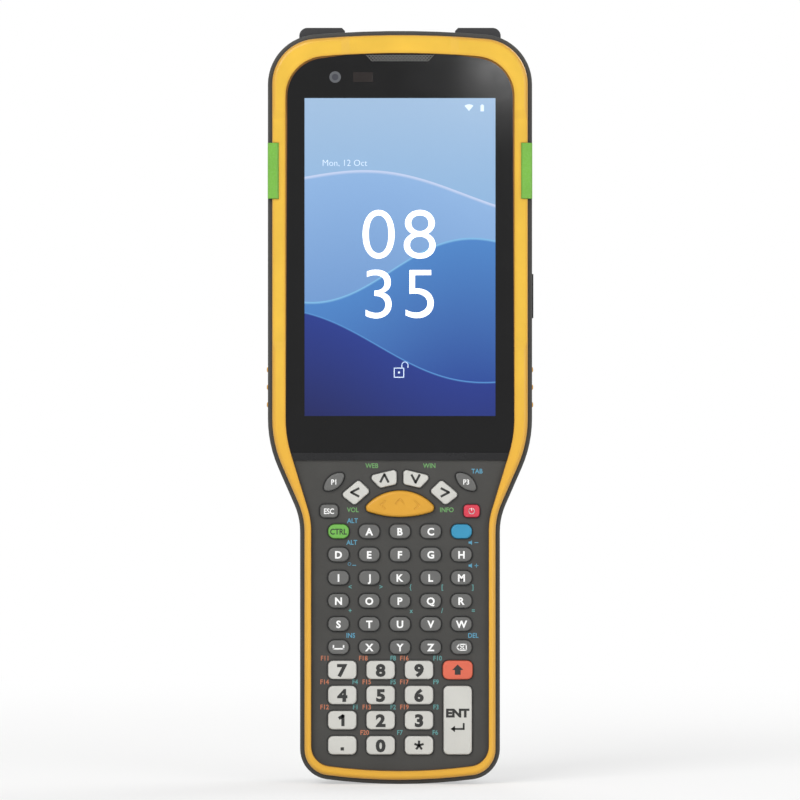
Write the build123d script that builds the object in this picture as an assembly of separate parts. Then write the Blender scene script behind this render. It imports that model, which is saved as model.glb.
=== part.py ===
from build123d import *
import os

# Portable barcode data terminal, upright: Z up the case, screen and keys towards -Y,
# scan engine at the top end. Lengths in mm. A depth is measured from the foremost
# plane of the terminal, the crest of the scan key, backwards.

# Case outline, seen from the front
case_top = 222.0            # crown of the top edge
head_half_width = 38.95     # beside the screen
grip_half_width = 29.45     # beside the keys
top_crown = 2.6             # rise of the top edge over its corners
bottom_crown = 2.6
shoulder_z = 100.2          # where the head starts to narrow
grip_z = 78.5               # where the grip has its full width
top_corner = 14.7
bottom_corner = 9.0
shoulder_round = 36.0
grip_round = 20.0

# Opening of the yellow frame, which holds the glass and the keypad
top_border = 6.6            # case beyond the opening, at the top end
head_border = 5.25          # beside the glass
grip_border = 3.25          # beside the keys
open_top = case_top - top_border
open_bottom = 3.9
open_head_half = head_half_width - head_border
open_grip_half = grip_half_width - grip_border
open_crown = 2.2
open_shoulder_z = 102.4
open_grip_z = 77.9
open_top_corner = 11.8
open_bottom_corner = 6.0
frame_inset = 1.3           # dark rim left outside the yellow frame

# Depths of the layers
overall_depth = 43.4
frame_front = 0.3
frame_low_step = 0.5        # the frame is lower between its thick corners
frame_back = 3.4
glass_front = 1.2
glass_thick = 1.1
panel_front = 1.9
panel_wall = 1.1
rim_front = 2.4
seam = 8.6                  # where the two housings meet
body_back = 24.0
front_wall = 1.9            # chassis around the display, behind the glass
side_wall = 3.2

# Thick corners of the frame
top_pad_x = 17.3            # inner end of each top corner pad
pad_height = 23.5
side_pad_z = case_top - pad_height
low_pad_z = 128.0           # the frame is thick again below this
pad_slope = 2.5             # length of the slopes between the two thicknesses

# Screen
glass_bottom = 97.8
trim_height = 2.3
lcd_side_margin = 3.1       # glass outside the display module
lcd_top_margin = 9.4
lcd_half_width = open_head_half - lcd_side_margin
lcd_bottom = 104.5
lcd_top = open_top - lcd_top_margin
lcd_thick = 2.8
camera_x = -19.1
camera_drop = 7.1
camera_z = open_top - camera_drop
camera_radius = 1.7
sensor_x = -10.9
sensor_size = (5.8, 2.9)
earpiece_top_width = 20.3
earpiece_low_width = 16.7
earpiece_height = 2.0

# Green light bars in the sides of the frame
light_z = (172.5, 188.9)
light_width = 3.25
light_back = 3.6

# Ears on the top edge
ear_width = 13.5
ear_inset = 9.15            # from the side of the case
ear_rise = 1.3              # above the crown
ear_top = case_top + ear_rise
ear_depth = (8.7, 14.6)

# Keys
letter_pitch = 9.05
letter_row_pitch = 6.82
letter_top_z = 74.5
letter_key = (6.1, 4.15, 1.9)       # width, height, corner radius
digit_pitch = 11.3
digit_row_pitch = 7.4
digit_top_z = 33.7
digit_left_x = -17.0
digit_key = (8.35, 5.4, 1.5)
right_column_x = 17.0
shift_key = (8.8, 5.5, 1.7)
enter_key = (8.35, 20.2, 1.5)
enter_z = 18.9
escape_key = (5.3, 3.9, 1.3)
escape_at = (-20.9, 80.5)
power_key = (4.7, 3.7, 1.1)
power_at = (21.1, 80.5)
scan_half_width = 10.9
scan_low_z = 78.8
scan_mid_z = 80.9
scan_high_z = 86.5
scan_tip_round = 1.3
soft_half_length = 4.0
soft_bulge = 1.95
soft_at = (19.45, 89.1)
soft_tilt = 40.0
arrow_round = 0.95
up_corners = [(-9.25, 90.8), (-1.0, 92.8), (-1.0, 88.4), (-5.9, 87.3)]
left_corners = [(-12.2, 89.7), (-8.7, 86.3), (-13.4, 82.2), (-17.4, 85.3)]
key_front = 0.9
key_gap = 0.18              # clearance of a key in its hole
key_edge = 0.4
key_flange = 0.45           # lip that stops a key behind the panel
flange_thick = 0.6
flange_play = 0.15
key_travel = 0.6
mark_half_width = 1.25      # the three sunk arrow heads in the scan key
mark_height = 1.3
mark_stroke = 0.6
mark_deep = 0.12
scan_marks = [(0, 83.4, 0), (-5.0, 82.3, 90), (5.0, 82.3, -90)]

# Boards inside
membrane_thick = 0.8
board_gap = 0.1
board_thick = 1.0
board_half_width = open_grip_half - 2.2
keypad_board_top = 93.0
keypad_board_bottom = 8.0
main_board_top = lcd_top
main_board_bottom = 104.0
main_board_half_width = lcd_half_width + 0.4
shield_half_width = 22.0
shield_z = (120.0, 175.0)
shield_thick = 1.6

# Rear housing
flank_lean = 5.0            # how far the flank leans in over its depth
back_round = 7.0
back_wall = 4.0
flank_step = 0.9            # the flanks stand in from the rim below the top corners
flank_step_z = (199.0, 187.0)
front_cavity_back = 14.0
grip_wall = 4.8             # thick enough to hold the side grooves

# Battery and its bay
battery_inset = 7.45        # from the side of the grip
battery_half_width = grip_half_width - battery_inset
battery_flat_half = 12.2
battery_bottom = 9.2
battery_top = 98.3
battery_back = 34.6
battery_shoulder = 28.4     # depth where the side wall turns into the facet
battery_front = 15.6
battery_gap = 0.25
battery_top_slope = 7.0
battery_corner = 3.5
boot_top = 25.5             # thicker foot of the battery
boot_swell = 0.7
pull_slot_z = 20.0
pull_slot = (30.0, 1.1, 2.4)
contact_size = (3.0, 2.0, 0.8)
contact_pitch = 5.0
contact_drop = 8.0          # from the top of the battery

# Finger notches beside the battery
notch_z = (24.6, 42.6)
notch_width = 4.6
notch_outer = battery_half_width + notch_width
notch_front = 17.5

# Grooves and release buttons in the flanks of the grip
groove_z = (8.0, 71.0)
groove_depths = (12.4, 20.4)
groove_deep = 3.85
groove_floor = grip_half_width - groove_deep
release_z = 61.8
release_height = 12.6
release_proud = 1.4         # above the floor of the groove
release_thick = 3.0
release_face = groove_floor + release_proud
release_root = release_face - release_thick
release_travel = 0.9
release_gap = 0.2
release_flange = 0.6

# Triggers in the flanks of the head
trigger_z = 117.0
trigger_height = 17.6
trigger_depths = (11.2, 17.2)
trigger_sunk = 0.05         # below the side of the case
trigger_thick = 5.7
trigger_face = head_half_width - trigger_sunk
trigger_root = trigger_face - trigger_thick
trigger_gap = 0.25
trigger_travel = 1.2
dot_radius = 0.85
dot_pitch = 5.2
dot_rise = 0.6              # outermost point of the terminal over the trigger's face
pocket_taper = 3.4          # height of the slope at each end of the trigger's pocket

# Port cover on the right side
port_z = 144.0
port_height = 13.0
port_depths = (10.4, 24.6)
port_face = trigger_face + dot_rise
port_thick = 4.9
port_root = port_face - port_thick
port_hinge_x = port_root - 3.0      # where the cover bends off its strap
port_hinge_depth = 22.2
port_size = (8.6, 3.2)      # opening of the connector, along Z and in depth
port_plug_length = 1.2
port_plug_play = 0.7
port_wire_room = 9.0        # free depth behind the connector's mouth
strap_height = 9.0
strap_thick = 1.5
strap_length = 17.2
strap_end_x = port_hinge_x - strap_length
strap_screw_x = strap_end_x + 5.3
port_gap = 0.2
scoop_radius = 10.5

# Scanner module on the back
module_inset = 5.95         # foot of the module inside the side of the case
module_slant = 4.6          # how far the slant of the foot leads in
module_foot_half = head_half_width - module_inset
module_half = module_foot_half - module_slant
module_bottom = 152.0
module_top = case_top - 5.0
turret_bottom = module_bottom + 4.5
turret_top = module_top - 4.7
module_foot_round = 11.0
turret_round = 8.0
foot_edge_depth = 22.0      # where the slant of the foot starts
foot_front = 19.0
shoulder_depth = 29.0       # where the slant ends
turret_taper = 1.4
plate_depth = 41.8
bumper_half = module_half - 1.0
bumper_band = 5.2
bumper_front = 38.2
bumper_round = 7.5
bumper_proud = 0.9          # beyond the ends of the module
bumper_outer_edge = 2.4     # radii of its two edges
bumper_inner_edge = 0.7
bumper_slant_z = (176.0, 190.3)     # where its sides are slanted
bumper_slant = (3.2, 6.4)   # across and in depth
bumper_top_gap_x = (-6.0, 13.6)
bumper_top_gap_depth = 2.2
bumper_notch_x = (-2.7, 6.9)        # shallow notch in its lower side
bumper_notch_deep = 0.5
block_front = 30.5          # the corners of the bumper reach this far forward
block_inner_x = 15.0
block_height = 5.0
lid_wall = 4.0
lid_margin = 8.0            # solid rim round the hollow of the module
lid_end_margin = 6.5
cover_screw_x = module_half - 0.8
cover_screw_z = (turret_bottom + 2.9, turret_top - 5.3)
cover_pocket_depth = 25.3
screw_radius = 1.75
driver_gap = 0.9            # room for a driver round a screw head

# Face of the scanner module
camera_bay_outer = bumper_half - 5.6
camera_bay_x = (camera_bay_outer - 23.1, camera_bay_outer)
camera_bay_z = (turret_top - 22.1, turret_top - 7.5)
camera_bay_depth = 2.6
camera_bay_round = 4.2
camera_divider_x = camera_bay_outer - 10.2
camera_divider = 1.9
lens_x = camera_bay_outer - 4.2
lens_z = turret_top - 14.9
lens_radius = 3.1
flash_x = lens_x - 10.2
flash_radius = 2.1
lens_deep = 3.0             # bores behind the floor of the bay
label_bay_x = (-14.8, 16.4)
label_bay_z = (161.9, 188.1)
label_bay_depth = 0.8
label_bay_round = 4.0
mic_holes = [(-12.4, 196.0), (-18.0, 197.6), (-18.0, 193.6)]
mic_radius = 0.45

# Speaker slots in the sides of the module
speaker_z = (165.6, 184.4)
speaker_depths = (28.6, 37.4)
speaker_recess = 2.0
rib_count = 3
rib_width = 0.9

# Scan window in the top end and the engine behind it
window_size = (27.0, 9.0)
window_depth = 31.0
window_thick = 1.5
window_recess = 0.9
engine_size = (21.0, 9.4, 14.0)
engine_gap = 0.4

# Hand strap bar
bar_z = 127.9
bar_inset = 8.45            # from the side of the case
bar_half_length = head_half_width - bar_inset
bar_height = 12.4
bar_corner = 2.6
bar_pad = 1.3
bar_rise = 4.7
bar_thick = 2.2
bar_waist = 7.0
bar_span_half = bar_half_length - 13.5
bar_recess = 2.4
bar_seat = 0.9              # depth of the bar's pads in the housing
bar_screw_x = bar_half_length - 5.0
bar_play = 0.1

# Inserts and screw holes
insert_x = battery_half_width + 3.2
insert_z = battery_top + 4.1
insert_radius = 1.65
insert_bore = 0.8
insert_length = 6.0
insert_recess_radius = 2.3
insert_recess = 0.8
hole_x = battery_half_width + 3.6
hole_z = 93.3
hole_radius = 2.5
hole_depth = 9.0
low_hole_x = grip_half_width - 8.55
low_hole_z = 6.4
housing_screw_radius = 2.3
crease_z = 111.6
crease_half_length = 22.0
crease_rise = 3.4
crease_depth = 0.5

# Strap anchor at the bottom of the back
anchor_half_width = 11.4
anchor_z = (1.8, 8.6)
anchor_back = 25.2
anchor_front = 17.8
anchor_slot = (17.6, 4.3)
anchor_slot_depth = 5.6
anchor_post = 1.4
anchor_post_x = -5.2

# Yellow corner inserts in the side rim
insert_top_z = (case_top - 24.0, case_top - 9.0)
insert_low_z = (3.4, 22.0)
insert_depths = (3.6, 7.9)
insert_thick = 1.1

# Dock contacts in the bottom end
dock_half_width = 9.0
dock_depths = (11.0, 16.0)
dock_height = 2.4
dock_pad = (1.6, 2.6, 0.3)
dock_pads = 5
dock_pitch = 3.2

seat = 0.05                 # clearance between pieces that are fixed together


def place(depth):
    """Y of a depth, so that the terminal is centred on Y = 0."""
    return depth - overall_depth / 2


def slab(shape, front, back):
    """A front-view shape filled between two depths."""
    return extrude(Plane.XZ.offset(-place(back)) * shape, amount=back - front)


def side_slab(shape, inner_x, outer_x):
    """A side-view shape (depth, z) filled between two distances from the centre, on the right."""
    moved = Pos(place(0), 0) * shape
    return extrude(Plane.YZ.offset(inner_x) * moved, amount=outer_x - inner_x)


def rect(x_low, x_high, z_low, z_high):
    return Pos((x_low + x_high) / 2, (z_low + z_high) / 2) * Rectangle(x_high - x_low, z_high - z_low)


def round_rect(x_low, x_high, z_low, z_high, radius):
    centre = Pos((x_low + x_high) / 2, (z_low + z_high) / 2)
    return centre * RectangleRounded(x_high - x_low, z_high - z_low, radius)


def round_corners(sketch, corners):
    for x, z, radius in corners:
        near = [v for v in sketch.vertices() if abs(abs(v.X) - x) < 1e-3 and abs(v.Y - z) < 1e-3]
        sketch = fillet(near, radius)
    return sketch


def outline(head, grip, top, bottom, top_sag, low_sag, head_z, narrow_z, rounds):
    """Symmetric case outline: crowned ends, wide head, narrow grip."""
    side = [(grip, bottom + low_sag), (grip, narrow_z), (head, head_z), (head, top - top_sag)]
    mirrored = [(-x, z) for x, z in reversed(side)]
    edges = ThreePointArc(mirrored[-1], (0, bottom), side[0]) + Polyline(*side)
    edges += ThreePointArc(side[-1], (0, top), mirrored[0]) + Polyline(*mirrored)
    corners = [(x, z, radius) for (x, z), radius in zip(side, rounds)]
    return round_corners(make_face(edges), corners)


def both_sides(shape):
    return shape + mirror(shape, about=Plane.YZ)


def front_edges(solid):
    return solid.faces().sort_by(Axis.Y)[0].edges()


def back_edges(solid):
    return solid.faces().sort_by(Axis.Y)[-1].edges()


case = outline(head_half_width, grip_half_width, case_top, 0, top_crown, bottom_crown, shoulder_z,
               grip_z, (bottom_corner, grip_round, shoulder_round, top_corner))
opening = outline(open_head_half, open_grip_half, open_top, open_bottom, open_crown, open_crown,
                  open_shoulder_z, open_grip_z,
                  (open_bottom_corner, grip_round, shoulder_round, open_top_corner))
frame_outer = offset(case, amount=-frame_inset)


def above(z):
    return rect(-2 * head_half_width, 2 * head_half_width, z, 2 * case_top)


def below(z):
    return rect(-2 * head_half_width, 2 * head_half_width, -case_top, z)


def between(z_low, z_high):
    return rect(-2 * head_half_width, 2 * head_half_width, z_low, z_high)


# ---- Keys: name, caps as (x, z, outline) ----

def cap_shape(size):
    width, height, radius = size
    return RectangleRounded(width, height, radius)


def arrow_shape(corners):
    return fillet(make_face(Polyline(*corners, close=True)).vertices(), arrow_round)


def scan_shape():
    left = (-scan_half_width, scan_mid_z)
    right = (scan_half_width, scan_mid_z)
    lens = ThreePointArc(left, (0, scan_high_z), right) + ThreePointArc(right, (0, scan_low_z), left)
    return fillet(make_face(lens).vertices(), scan_tip_round)


def soft_shape(side):
    left = (-soft_half_length, 0)
    right = (soft_half_length, 0)
    leaf = ThreePointArc(left, (0, soft_bulge), right) + ThreePointArc(right, (0, -soft_bulge), left)
    leaf = fillet(make_face(leaf).vertices(), arrow_round)
    return Pos(side * soft_at[0], soft_at[1]) * Rot(0, 0, -side * soft_tilt) * leaf


def mirrored_corners(corners):
    return [(-x, z) for x, z in reversed(corners)]


def letter_row(row, columns):
    z = letter_top_z - row * letter_row_pitch
    return [Pos(column * letter_pitch, z) * cap_shape(letter_key) for column in columns]


def digit_row(row):
    z = digit_top_z - row * digit_row_pitch
    return [Pos(digit_left_x + column * digit_pitch, z) * cap_shape(digit_key) for column in range(3)]


key_outlines = {
    "scan_key": [scan_shape()],
    "key_p1": [soft_shape(-1)],
    "key_p3": [soft_shape(1)],
    "key_up": [arrow_shape(up_corners)],
    "key_down": [arrow_shape(mirrored_corners(up_corners))],
    "key_left": [arrow_shape(left_corners)],
    "key_right": [arrow_shape(mirrored_corners(left_corners))],
    "key_escape": [Pos(*escape_at) * cap_shape(escape_key)],
    "key_power": [Pos(*power_at) * cap_shape(power_key)],
    "key_control": letter_row(0, [-2]),
    "keys_a_to_c": letter_row(0, [-1, 0, 1]),
    "key_blue": letter_row(0, [2]),
    "keys_d_to_h": letter_row(1, range(-2, 3)),
    "keys_i_to_m": letter_row(2, range(-2, 3)),
    "keys_n_to_r": letter_row(3, range(-2, 3)),
    "keys_s_to_w": letter_row(4, range(-2, 3)),
    "keys_space_to_backspace": letter_row(5, range(-2, 3)),
    "keys_7_to_9": digit_row(0),
    "keys_4_to_6": digit_row(1),
    "keys_1_to_3": digit_row(2),
    "keys_dot_to_star": digit_row(3),
    "key_shift": [Pos(right_column_x, digit_top_z) * cap_shape(shift_key)],
    "key_enter": [Pos(right_column_x, enter_z) * cap_shape(enter_key)],
}
panel_back = panel_front + panel_wall
flange_front = panel_back + flange_play
flange_back = flange_front + flange_thick


def key_cap(shape, front, edge):
    cap = slab(shape, front, flange_front)
    cap = fillet(front_edges(cap), edge)
    return cap + slab(offset(shape, amount=key_flange), flange_front, flange_back)


def arrow_head():
    upper = [(-mark_half_width, 0), (0, mark_height), (mark_half_width, 0)]
    lower = [(x, z - mark_stroke) for x, z in reversed(upper)]
    return Pos(0, (mark_stroke - mark_height) / 2) * make_face(Polyline(*upper, *lower, close=True))


def scan_key_cap():
    cap = key_cap(key_outlines["scan_key"][0], 0, key_front)
    for x, z, turn in scan_marks:
        cap -= slab(Pos(x, z) * Rot(0, 0, turn) * arrow_head(), -1, mark_deep)
    return cap


def key(name):
    if name == "scan_key":
        return scan_key_cap()
    return Compound([key_cap(shape, key_front, key_edge) for shape in key_outlines[name]])


def key_holes():
    return [slab(offset(shape, amount=key_gap), 0, panel_back + 1)
            for shapes in key_outlines.values() for shape in shapes]


# ---- Front of the terminal ----

def light_bar_block(gap):
    z_low, z_high = light_z
    bar = rect(head_half_width - light_width - gap, 2 * head_half_width, z_low - gap, z_high + gap)
    return slab(bar, 0, light_back + gap)


def light_bar():
    z_low, z_high = light_z
    bar = rect(head_half_width - light_width, head_half_width, z_low, z_high)
    bar = slab(bar, frame_front, light_back)
    front = bar.edges().filter_by(Axis.Z).group_by(Axis.Y)[0]
    return chamfer(front, 0.5)


def dip(start, end):
    """Section (depth, length) of the lower stretch between two pads of the frame."""
    front = frame_front - frame_low_step
    back = frame_front + frame_low_step
    corners = [(front, start - pad_slope), (back, start + pad_slope), (back, end - pad_slope),
               (front, end + pad_slope)]
    return make_face(Polyline(*corners, close=True))


def bezel_frame():
    frame = slab(frame_outer, frame_front, frame_back)
    frame = fillet(front_edges(frame), 1.3)
    frame -= slab(opening, 0, frame_back)
    frame -= side_slab(dip(low_pad_z, side_pad_z), -2 * head_half_width, 2 * head_half_width)
    across = Plane.XY.offset(side_pad_z) * Pos(0, place(0)) * Rot(0, 0, 90) * dip(-top_pad_x, top_pad_x)
    frame -= extrude(across, amount=pad_height)
    frame -= both_sides(light_bar_block(seat))
    return frame


def keypad_area(gap):
    return offset(opening, amount=-gap) & below(glass_bottom - gap)


def front_housing():
    body = slab(case, rim_front, seam)
    body = fillet(front_edges(body), 0.7)
    rebate = offset(frame_outer, amount=seat)
    body -= slab(rebate, 0, frame_back + seat)
    body += slab(keypad_area(seat), panel_front, frame_back + seat)
    body += slab(offset(opening, amount=-seat) & above(glass_bottom), glass_front + glass_thick + seat,
                 frame_back + seat)
    chassis_back = frame_back + front_wall
    body -= slab(rect(-lcd_half_width - seat, lcd_half_width + seat, lcd_bottom - seat, lcd_top + seat),
                 0, seam)
    body -= slab(offset(case, amount=-side_wall) & above(glass_bottom - 6), chassis_back, seam)
    body -= slab(offset(opening, amount=-1.5) & below(glass_bottom - 4), panel_back, seam)
    for hole in key_holes():
        body -= hole
    body -= both_sides(corner_insert_block(seat))
    body -= both_sides(light_bar_block(seat))
    body -= slab(Pos(camera_x, camera_z) * Circle(camera_radius + seat), 0, seam)
    body -= slab(sensor_shape(seat), 0, seam)
    return body


def corner_insert_block(gap):
    front, back = insert_depths
    ring = case - offset(case, amount=-insert_thick - gap)
    upper = ring & rect(0, 2 * head_half_width, insert_top_z[0] - gap, insert_top_z[1] + gap)
    lower = ring & rect(0, 2 * head_half_width, insert_low_z[0] - gap, insert_low_z[1] + gap)
    return slab(upper, front - gap, back + gap) + slab(lower, front - gap, back + gap)


def trim_strip():
    strip = offset(opening, amount=-2 * seat) & between(glass_bottom - trim_height, glass_bottom - seat)
    return slab(strip, panel_front - 0.6, panel_front - seat)


def touch_glass():
    pane = offset(opening, amount=-2 * seat) & above(glass_bottom)
    pane = slab(pane, glass_front, glass_front + glass_thick)
    return pane - slab(earpiece_shape(seat), 0, seam)


def earpiece_shape(gap):
    top = open_top - 0.5
    half_top = earpiece_top_width / 2 + gap
    half_low = earpiece_low_width / 2 + gap
    low = top - earpiece_height
    corners = [(-half_top, top + gap), (half_top, top + gap), (half_low, low - gap), (-half_low, low - gap)]
    return make_face(Polyline(*corners, close=True))


def earpiece_mesh():
    return slab(earpiece_shape(0), glass_front + 0.3, glass_front + glass_thick)


def lcd_panel():
    front = glass_front + glass_thick + seat
    pane = rect(-lcd_half_width, lcd_half_width, lcd_bottom, lcd_top)
    return slab(pane, front, front + lcd_thick)


def front_camera():
    front = glass_front + glass_thick + seat
    return slab(Pos(camera_x, camera_z) * Circle(camera_radius), front, front + lcd_thick)


def sensor_shape(gap):
    width, height = sensor_size
    return Pos(sensor_x, camera_z) * Rectangle(width + 2 * gap, height + 2 * gap)


def light_sensor():
    front = glass_front + glass_thick + seat
    return slab(sensor_shape(0), front, front + lcd_thick)


def keypad_membrane():
    front = flange_back + key_travel + board_gap
    sheet = rect(-board_half_width, board_half_width, keypad_board_bottom, keypad_board_top)
    return slab(sheet & offset(opening, amount=-2), front, front + membrane_thick)


def keypad_board():
    front = flange_back + key_travel + membrane_thick + 2 * board_gap
    sheet = rect(-board_half_width, board_half_width, keypad_board_bottom, keypad_board_top)
    return slab(sheet & offset(opening, amount=-2), front, front + board_thick)


def main_board():
    front = glass_front + glass_thick + lcd_thick + 0.4
    half = main_board_half_width
    board = slab(rect(-half, half, main_board_bottom, main_board_top), front, front + board_thick)
    shield = rect(-shield_half_width, shield_half_width, *shield_z)
    return board + slab(shield, front + board_thick, front + board_thick + shield_thick)


# ---- Rear housing and what is set in it ----

def ear():
    x_high = head_half_width - ear_inset
    block = slab(rect(x_high - ear_width, x_high, case_top - top_crown - 6, ear_top), *ear_depth)
    top = block.faces().sort_by(Axis.Z)[-1]
    ends = top.edges().filter_by(Axis.Y).sort_by(Axis.X)
    block = chamfer(ends[0], 0.9)
    outer = block.faces().sort_by(Axis.Z)[-1].edges().filter_by(Axis.Y).sort_by(Axis.X)[-1]
    return fillet(outer, 2.4)


def tapered_shell(shape):
    shell = slab(shape, seam, body_back)
    shell = chamfer(back_edges(shell), length=body_back - seam - 0.3, length2=flank_lean)
    return fillet(back_edges(shell), back_round)


def rear_shell():
    """Solid of the rear housing, proud at its top corners."""
    high, low = flank_step_z
    crown = [(seam, high), (body_back + 1, low), (body_back + 1, case_top + 1), (seam, case_top + 1)]
    crown = side_slab(make_face(Polyline(*crown, close=True)), -2 * head_half_width, 2 * head_half_width)
    return tapered_shell(offset(case, amount=-flank_step)) + (tapered_shell(case) & crown)


def battery_profile(gap, back, shoulder, flat_half):
    """Cross-section (x, depth) of the battery."""
    half = battery_half_width + gap
    front = battery_front - gap
    right = [(half, front), (half, shoulder), (flat_half, back)]
    left = [(-x, depth) for x, depth in reversed(right)]
    return make_face(Polyline(*right, *left, close=True))


def battery_bay():
    half = battery_half_width + battery_gap
    bay = round_rect(-half, half, battery_bottom - battery_gap, battery_top + battery_gap,
                     battery_corner + battery_gap)
    return slab(bay, battery_front - battery_gap, overall_depth)


def finger_notch():
    z_low, z_high = notch_z
    return slab(rect(battery_half_width - 1, notch_outer, z_low, z_high), notch_front, overall_depth)


def side_groove():
    front, back = groove_depths
    z_low, z_high = groove_z
    shape = round_rect(front, back, z_low, z_high, 2.6)
    return side_slab(shape, groove_floor, 2 * head_half_width)


def release_shape(gap):
    front, back = groove_depths
    middle = (front + back) / 2
    half = (back - front) / 2 - 0.6 + gap
    height = release_height + 2 * gap
    return Pos(middle, release_z) * RectangleRounded(2 * half, height, half - 0.05)


def release_pocket():
    floor = release_root - release_travel - release_gap
    pocket = side_slab(release_shape(release_gap), floor, 2 * head_half_width)
    wide = release_shape(release_gap + release_flange)
    return pocket + side_slab(wide, floor, release_root + flange_thick + release_gap)


def release_button():
    button = side_slab(release_shape(0), release_root, release_face)
    button = fillet(button.faces().sort_by(Axis.X)[-1].edges(), 0.7)
    return button + side_slab(release_shape(release_flange), release_root, release_root + flange_thick)


def trigger_shape(gap):
    front, back = trigger_depths
    half = trigger_height / 2 + gap
    return rect(front - gap, back + gap, trigger_z - half, trigger_z + half)


def trigger_pocket():
    front, back = trigger_depths
    pocket = side_slab(trigger_shape(trigger_gap), trigger_root - trigger_travel - trigger_gap,
                       2 * head_half_width)
    half = trigger_height / 2 + trigger_gap
    reach = half + pocket_taper
    floor = trigger_face - 3.4
    outer = 2 * head_half_width
    spread = reach + outer - floor
    slope = [(floor, trigger_z - half), (floor, trigger_z + half), (outer, trigger_z + spread),
             (outer, trigger_z - spread)]
    wedge = extrude(Plane.XZ.offset(-place(back + 1.2)) * make_face(Polyline(*slope, close=True)),
                    amount=back - front + 1.6)
    return pocket + wedge


def trigger():
    front, back = trigger_depths
    body = side_slab(trigger_shape(0), trigger_root, trigger_face)
    outer = body.faces().sort_by(Axis.X)[-1]
    rear_edge = outer.edges().filter_by(Axis.Z).sort_by(Axis.Y)[-1]
    body = chamfer(rear_edge, 2.4)
    ends = body.faces().sort_by(Axis.X)[-1].edges().filter_by(Axis.Y)
    body = fillet(ends, 0.7)
    middle = (front + back) / 2 - 1.2
    for step in (-1, 0, 1):
        dot = side_slab(Pos(middle, trigger_z + step * dot_pitch) * Circle(dot_radius), trigger_root + 1,
                        trigger_face + dot_rise)
        body += fillet(dot.faces().sort_by(Axis.X)[-1].edges(), dot_rise - 0.05)
    return body


def port_section(gap):
    """Cross-section (x, depth) of the cover, which wraps the corner of the case."""
    front, back = port_depths
    face = port_face + gap
    hinge = port_hinge_x - gap
    root = port_root - gap
    corners = [(face, front - gap), (face, front + 6.5), (face - 2.4, back - 3.6), (face - 5.4, back + gap),
               (hinge, back + gap), (hinge, port_hinge_depth - gap), (root, port_hinge_depth - gap),
               (root, front - gap)]
    return make_face(Polyline(*[(x, place(depth)) for x, depth in corners], close=True))


def port_block(gap):
    half = port_height / 2 + gap
    return extrude(Plane.XY.offset(port_z - half) * port_section(gap), amount=2 * half)


def port_pocket():
    """Seat of the cover, with a finger scoop above and below it."""
    front, back = port_depths
    reach = port_hinge_x + 1.2
    scoop = side_slab(Pos((front + back) / 2, port_z) * Circle(scoop_radius), reach, 2 * head_half_width)
    dish = slab(rect(reach, 2 * head_half_width, port_z - scoop_radius, port_z + scoop_radius), front + 1.5,
                overall_depth)
    return port_block(port_gap) + (scoop & dish)


def port_opening(gap):
    front = port_depths[0] + 3.8
    length, width = port_size
    return round_rect(front - gap, front + width + gap, port_z - length / 2 - gap, port_z + length / 2 + gap,
                      width / 2 + gap - 0.02)


def port_cover():
    cover = port_block(0)
    bends = cover.edges().filter_by(Axis.Z).sort_by(lambda e: e.center().X + e.center().Y)[-3:]
    cover = fillet(bends, 1.6)
    return cover + side_slab(port_opening(-port_plug_play), port_root - port_plug_length, port_root)


def port_connector():
    shell = side_slab(port_opening(0), port_root - port_plug_length - 4.5, port_root - port_gap)
    return shell - side_slab(port_opening(-0.3), port_root - port_plug_length - port_gap, port_root)


def strap_shape(gap):
    low = port_z - strap_height / 2 - gap
    high = port_z + strap_height / 2 + gap
    strap = round_rect(strap_end_x - gap, port_hinge_x + 4, low, high, 1.6)
    return strap & rect(0, port_hinge_x - port_gap + gap, low, high)


def port_strap():
    strap = slab(strap_shape(0), body_back - strap_thick, body_back + 0.3)
    return strap - bore(strap_screw_x, port_z, 0, screw_radius * 0.5 + seat)


def strap_bed():
    return slab(strap_shape(seat), body_back - strap_thick - seat, overall_depth)


def screw(x, z, head_back, head_thick, length, radius):
    """Pan-head screw driven in from the back."""
    head = slab(Pos(x, z) * Circle(radius), head_back - head_thick, head_back)
    head = chamfer(back_edges(head), 0.35)
    head -= slab(Pos(x, z) * RegularPolygon(radius * 0.42, 6), head_back - 0.7, overall_depth)
    neck = head_back - head_thick
    return head + slab(Pos(x, z) * Circle(radius * 0.5), neck - length, neck)


def bore(x, z, front, radius):
    return slab(Pos(x, z) * Circle(radius), front, overall_depth + 1)


def crease():
    """Crescent-shaped dip above the battery."""
    half = crease_half_length
    upper = ThreePointArc((-half, crease_z), (0, crease_z + crease_rise + 1.2), (half, crease_z))
    lower = ThreePointArc((half, crease_z), (0, crease_z + crease_rise), (-half, crease_z))
    return slab(make_face(upper + lower), body_back - crease_depth, overall_depth)


housing_holes = [(-hole_x, hole_z), (hole_x, hole_z), (-low_hole_x, low_hole_z), (low_hole_x, low_hole_z)]
strap_screws = [(strap_screw_x, port_z), (-bar_screw_x, bar_z), (bar_screw_x, bar_z)]


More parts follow.
